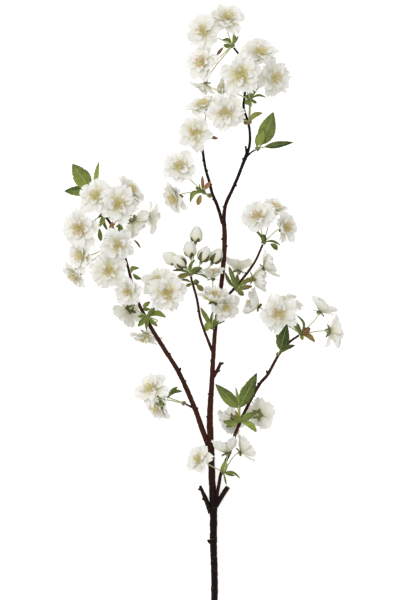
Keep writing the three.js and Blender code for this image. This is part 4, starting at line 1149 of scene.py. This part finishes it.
def make_blade(bm, point, columns, rows, thick):
    """A thin blade from a flat grid, with each spot (across -1..1, along 0..1) put at its point."""
    grid = bmesh.ops.create_grid(bm, x_segments=columns, y_segments=rows, size=1, calc_uvs=True)
    verts = grid["verts"]
    for vert in verts:
        vert.co = point(vert.co.x, (vert.co.y + 1) / 2)
    made = bmesh.ops.solidify(bm, geom=linked(verts, "link_faces"), thickness=-thick)["geom"]
    return verts + verts_in(made)


BUD_LONG = 18  # length of a shut bud


def bud_radius(t):
    """The radius of a shut bud at t, from its seat to its tip."""
    return 6.7 * math.sin(math.pi * (0.1 + 0.885 * t) ** 0.85) ** 0.85


def make_sepals(bm, seat, facing, size, bud, depth):
    """Five pointed sepals round the cup, bent back on an open bloom, upright along a bud."""
    turn = UP.rotation_difference(facing)
    for i in range(5):
        def point(v, t):
            across = v * (2.7 if bud else 2.9) * (1 - t) ** 0.75 * (1 + 0.4 * t)
            if bud:
                rise = bud * t
                radius = bud_radius(rise / BUD_LONG) + 1.2
                turned = across / radius
                across, reach = radius * math.sin(turned), radius * math.cos(turned)
            else:
                rise = mix(-0.9, -3.1, t) + 0.3 * v * v
                reach = mix(2.1, 8.2, t) + 0.5 * math.sin(math.pi * t)
            spot = around(math.radians(72 * i), reach, across, rise)
            return seat + turn @ (spot * size)

        mark(bm, make_blade(bm, point, 4, 6, 0.28), dark=depth)


def make_stalk(bm, look, knuckle, seat, facing, size, by=None, bud=0, depth=1):
    """A stalk that swells into the cup behind a bloom or a bud, and its sepals."""
    calyx = look.calyx / MM
    line = stalk_line(knuckle, seat, facing, size, calyx, by)
    thin = look.stalk / MM
    widths = [thin * (1 + 0.35 * (1 - k / len(line)) ** 3) for k in range(len(line))]
    cup = [(0.15, 1.25), (0.35, 1.7), (0.6, 1.85), (0.85, 2.1), (1, 2.6)]
    foot = line[-1]
    line += [foot.lerp(seat, t) for t, _ in cup]
    widths += [w * size for _, w in cup]
    rings = sweep(bm, line, widths, 8)
    for k, ring in enumerate(rings, 6 - len(rings)):
        mark(bm, ring, dark=depth * smooth_step(0, 5, k))
    make_sepals(bm, seat, facing, size, bud, depth)


def make_knuckle(bm, place, out):
    """A knot at the spur, wrapped in a few blunt scales."""
    turn = standing(place, out)
    verts = bmesh.ops.create_icosphere(bm, subdivisions=2, radius=KNUCKLE * 0.86)["verts"]
    bmesh.ops.transform(bm, matrix=turn @ Matrix.Diagonal((1, 1, 1.12, 1)), verts=verts)
    mark(bm, verts, dark=0.7)
    for i in range(5):
        def point(v, t):
            across = v * KNUCKLE * 0.62 * (1 - t * t) ** 0.5
            reach = KNUCKLE * (0.95 + 0.22 * t)
            return turn @ around(i * 2.4, reach, across, KNUCKLE * (1.7 * t - 0.9))

        mark(bm, make_blade(bm, point, 4, 4, 0.25), dark=0.85)


def leaf_point(foot, tip, width, teeth, depth, wave, seed, bend=0, late=0.8, blunt=0.75):
    """How a leaf lies: arched along its rib, folded a little and toothed along its edge."""
    way = tip - foot
    long = way.length
    way = way.normalized()
    side = way.cross(UP).normalized()
    face = side.cross(way)

    def point(s, t):
        half = width / 2 * math.sin(math.pi * (t * 0.985 + 0.006) ** late) ** blunt
        saw = (t * teeth) % 1
        half *= 1 + depth * (0.5 - saw) * smooth_step(0.6, 1, abs(s))
        bow = math.sin(math.pi * t)
        rib = foot + way * (t * long) + (face * 0.1 - side * bend) * long * bow
        ripple = wave * half * abs(s) * math.sin(t * 15 + s * 2 + seed)
        lift = 0.4 * half * abs(s) ** 1.3 + ripple
        forward = 0.03 * long * abs(s)
        return rib + side * (s * half) + way * forward + face * lift

    return point


def make_small_leaf(bm, row, nearest, draw, look):
    """A young leaf from its knuckle: slim or broad, with a few coarse teeth."""
    x, y, z, width, bend, fresh, red, *foot = row
    tip = Vector((x, y, z))
    foot = Vector(foot[0]) if foot else nearest(tip)
    slim = width < 0.24 * (tip - foot).length
    point = leaf_point(foot, tip, width * 1.14, 3 if slim else 6, 0.12 if slim else 0.24, 0.16,
                       draw() * 6, bend, 1.15, 0.6)
    mark(bm, make_blade(bm, point, 6, 18, look.leaf_thick / MM), fresh=fresh + 0.22, red=red)


def make_large_leaf(bm, foot, tip, width, fresh, draw, look):
    """A grown leaf, toothed like a saw."""
    teeth = max(8, round((tip - foot).length / 2.3))
    point = leaf_point(foot, tip, width, teeth, 0.2, 0.07, draw() * 6, blunt=0.9)
    mark(bm, make_blade(bm, point, 10, teeth * 3, look.leaf_thick / MM), fresh=fresh)


def make_leaves(bm, spray, look, draw):
    """The small leaves and the large ones of a spur. Each large one has a short stalk."""
    knuckles = knuckles_of(spray)

    def nearest(place):
        return min(knuckles, key=lambda k: (k - place).length)

    for row in spray.leaves:
        make_small_leaf(bm, row, nearest, draw, look)
    for foot, tip, width, fresh in spray.large:
        foot, tip = Vector(foot), Vector(tip)
        make_large_leaf(bm, foot, tip, width, fresh, draw, look)
        start = nearest(foot)
        way = (tip - foot) * 0.12
        line = [start * (1 - t) ** 2 + foot * 2 * t * (1 - t) + (foot + way) * t * t
                for t in (k / 8 for k in range(9))]
        for ring in sweep(bm, line, [mix(0.85, 0.5, k / 8) for k in range(9)], 8):
            mark(bm, ring, fresh=0.8)


def make_shut_bud(bm, seat, facing, draw):
    """A shut bud: four petals wrapped over each other round an egg."""
    along = bm.verts.layers.float["along"]
    turn = UP.rotation_difference(facing)

    def wrapped(angle, t, extra):
        return seat + turn @ around(angle, bud_radius(t) + extra, 0, BUD_LONG * t)

    spin = draw() * 6
    for i in range(4):
        middle = spin + i * 2.3

        def point(v, t):
            angle = middle + v * mix(1.35, 1.0, t) + 0.35 * t
            top = 1 - 0.1 * v * v - 0.03 * i
            return wrapped(angle, t * top, 0.15 + 0.16 * i + 0.4 * (v + 1) / 2)

        for vert in make_blade(bm, point, 10, 12, 0.3):
            vert[along] = 0.02 + 0.82 * (vert.co - seat).length / BUD_LONG
    core = bmesh.ops.create_uvsphere(bm, u_segments=14, v_segments=10, radius=1)["verts"]
    for vert in core:
        t = (vert.co.z + 1) / 2
        angle = math.atan2(vert.co.y, vert.co.x)
        level = max(math.sin(math.acos(min(1, abs(vert.co.z)))), 1e-6)
        keep = min(1, math.hypot(vert.co.x, vert.co.y) / level)
        share = 0.02 + 0.95 * t
        vert.co = wrapped(angle, share, -0.1 - bud_radius(share) * (1 - keep))
        vert[along] = 0.02 + 0.82 * t


def seats_of_buds(spray):
    """The seat, the facing and the length of the sepals of each shut bud of a spur."""
    for x, y, z, fx, fy, fz, sepals in spray.buds:
        facing = Vector((fx, fy, fz)).normalized()
        yield Vector((x, y, z)) - facing * 8, facing, sepals


def make_stalks(look, blossom_look):
    """Knuckles, stalks, cups and sepals, one piece for each spur."""
    finish = stalk_finish(look)
    blooms = all_blooms(blossom_look)
    for spray in SPRAYS:
        first, out = knuckle_of(spray)
        bm = start_piece("dark")
        for place in knuckles_of(spray):
            make_knuckle(bm, place, out)
        if spray.shoot:
            line = [first.lerp(Vector(spray.shoot), k / 8) for k in range(9)]
            for ring in sweep(bm, line, [1.25 + 0.1 * math.sin(k * 2.4) for k in range(9)], 10):
                mark(bm, ring, dark=0.45)
        for bloom in blooms:
            if bloom.spray is spray:
                make_stalk(bm, look, bloom.knuckle, bloom.seat(), bloom.facing, bloom.size,
                           by=bloom.by, depth=CUP_DEPTHS.get(bloom.name, 1))
        for seat, facing, sepals in seats_of_buds(spray):
            make_stalk(bm, look, first, seat, facing, 1, bud=sepals)
        keep_piece(bm, f"stalks_{spray.name}", [finish], [f"spray_{spray.name}"])


def make_foliage(look):
    """The leaves, one piece for each spur."""
    finish = leaf_finish(look)
    for seed, spray in enumerate(SPRAYS, 500):
        bm = start_piece("fresh", "red")
        make_leaves(bm, spray, look, Draw(seed))
        keep_piece(bm, f"leaves_{spray.name}", [finish], [f"spray_{spray.name}"])


def make_buds(blossom_look):
    """The shut buds at the tip of their limb."""
    bm = start_piece("along", "green")
    draw = Draw(700)
    for spray in SPRAYS:
        for seat, facing, _ in seats_of_buds(spray):
            make_shut_bud(bm, seat, facing, draw)
    mark(bm, bm.verts, green=1.1)
    keep_piece(bm, "shut_buds", [petal_finish(blossom_look)], ["spray_buds"])


# ---------------------------------------------------------------- stage

# The middle of the picture, at the height of the blooms, in metres.
PICTURE_MIDDLE = (-0.00315, 0.0129, 0.038)


def area_light(name, place, aim, size, power):
    """A square soft light at a place that faces a point."""
    data = bpy.data.lights.new(name, "AREA")
    data.shape, data.size, data.energy = "SQUARE", size, power
    lamp = bpy.data.objects.new(name, data)
    lamp.location = place
    lamp.rotation_euler = (Vector(aim) - Vector(place)).to_track_quat("-Z", "Y").to_euler()
    bpy.context.scene.collection.objects.link(lamp)


def make_stage(look):
    """The floor, a soft key light from the upper left, light from all round, and the camera."""
    bm = bmesh.new()
    bmesh.ops.create_grid(bm, x_segments=1, y_segments=1, size=look.floor_size / 2)
    mesh = bpy.data.meshes.new("floor")
    bm.to_mesh(mesh)
    bm.free()
    mesh.materials.append(floor_finish(look))
    floor = bpy.data.objects.new("floor", mesh)
    scene = bpy.context.scene
    scene.collection.objects.link(floor)

    area_light("key", place=(-0.7, 0.6, 2.0), aim=(0, 0, 0.03), size=2.6, power=look.key)
    world = bpy.data.worlds.new("studio")
    world.use_nodes = True
    backdrop = world.node_tree.nodes["Background"]
    backdrop.inputs["Color"].default_value = (1.0, 1.0, 1.0, 1.0)
    backdrop.inputs["Strength"].default_value = look.fill
    scene.world = world
    scene.view_settings.view_transform = "Standard"

    data = bpy.data.cameras.new("camera")
    data.lens = look.lens
    camera = bpy.data.objects.new("camera", data)
    above = look.view_high * look.lens / data.sensor_width
    x, y, z = PICTURE_MIDDLE
    camera.location = (x, y, z + above)
    data.clip_end = 20.0
    scene.collection.objects.link(camera)
    scene.camera = camera


# ---------------------------------------------------------------- operators and panel

class SPRIG_OT_branch(bpy.types.Operator):
    """Makes the bark of every limb, with its dormant buds and cut ends"""

    bl_idname = "sprig.branch"
    bl_label = "Branch"

    def execute(self, context):
        make_branch(context.scene.sprig_bark)
        return {"FINISHED"}


class SPRIG_OT_blossoms(bpy.types.Operator):
    """Makes the petals and stamens of every bloom"""

    bl_idname = "sprig.blossoms"
    bl_label = "Blossoms"

    def execute(self, context):
        make_blossoms(context.scene.sprig_blossom)
        return {"FINISHED"}


class SPRIG_OT_stalks(bpy.types.Operator):
    """Makes the knuckles, stalks, cups and sepals of every spur"""

    bl_idname = "sprig.stalks"
    bl_label = "Stalks"

    def execute(self, context):
        make_stalks(context.scene.sprig_green, context.scene.sprig_blossom)
        return {"FINISHED"}


class SPRIG_OT_leaves(bpy.types.Operator):
    """Makes the small and the large leaves of every spur"""

    bl_idname = "sprig.leaves"
    bl_label = "Leaves"

    def execute(self, context):
        make_foliage(context.scene.sprig_green)
        return {"FINISHED"}


class SPRIG_OT_buds(bpy.types.Operator):
    """Makes the shut buds"""

    bl_idname = "sprig.buds"
    bl_label = "Buds"

    def execute(self, context):
        make_buds(context.scene.sprig_blossom)
        return {"FINISHED"}


class SPRIG_OT_stage(bpy.types.Operator):
    """Sets up the floor, the lights and the camera"""

    bl_idname = "sprig.stage"
    bl_label = "Stage"

    def execute(self, context):
        make_stage(context.scene.sprig_stage)
        return {"FINISHED"}


OPERATORS = (
    SPRIG_OT_branch, SPRIG_OT_blossoms, SPRIG_OT_stalks, SPRIG_OT_leaves, SPRIG_OT_buds,
    SPRIG_OT_stage,
)
LOOKS = {
    "sprig_blossom": BlossomLook,
    "sprig_green": GreenLook,
    "sprig_bark": BarkLook,
    "sprig_stage": StageLook,
}


class SPRIG_PT_panel(bpy.types.Panel):
    """Lists the sizes, the colours and the operators of the sprig"""

    bl_idname = "SPRIG_PT_panel"
    bl_label = "Cherry blossom sprig"
    bl_space_type = "VIEW_3D"
    bl_region_type = "UI"
    bl_category = "Sprig"

    def draw(self, context):
        for name, look in LOOKS.items():
            box = self.layout.box()
            for key in look.__annotations__:
                box.prop(getattr(context.scene, name), key)
        for operator in OPERATORS:
            self.layout.operator(operator.bl_idname)


def register():
    for cls in (*LOOKS.values(), *OPERATORS, SPRIG_PT_panel):
        bpy.utils.register_class(cls)
    for name, look in LOOKS.items():
        setattr(bpy.types.Scene, name, PointerProperty(type=look))


def unregister():
    for name in LOOKS:
        delattr(bpy.types.Scene, name)
    for cls in (SPRIG_PT_panel, *reversed(OPERATORS), *LOOKS.values()):
        bpy.utils.unregister_class(cls)


def main():
    register()
    bpy.ops.sprig.stage()
    bpy.ops.sprig.branch()
    bpy.ops.sprig.blossoms()
    bpy.ops.sprig.stalks()
    bpy.ops.sprig.leaves()
    bpy.ops.sprig.buds()
    bpy.context.view_layer.update()


if __name__ == "__main__":
    main()
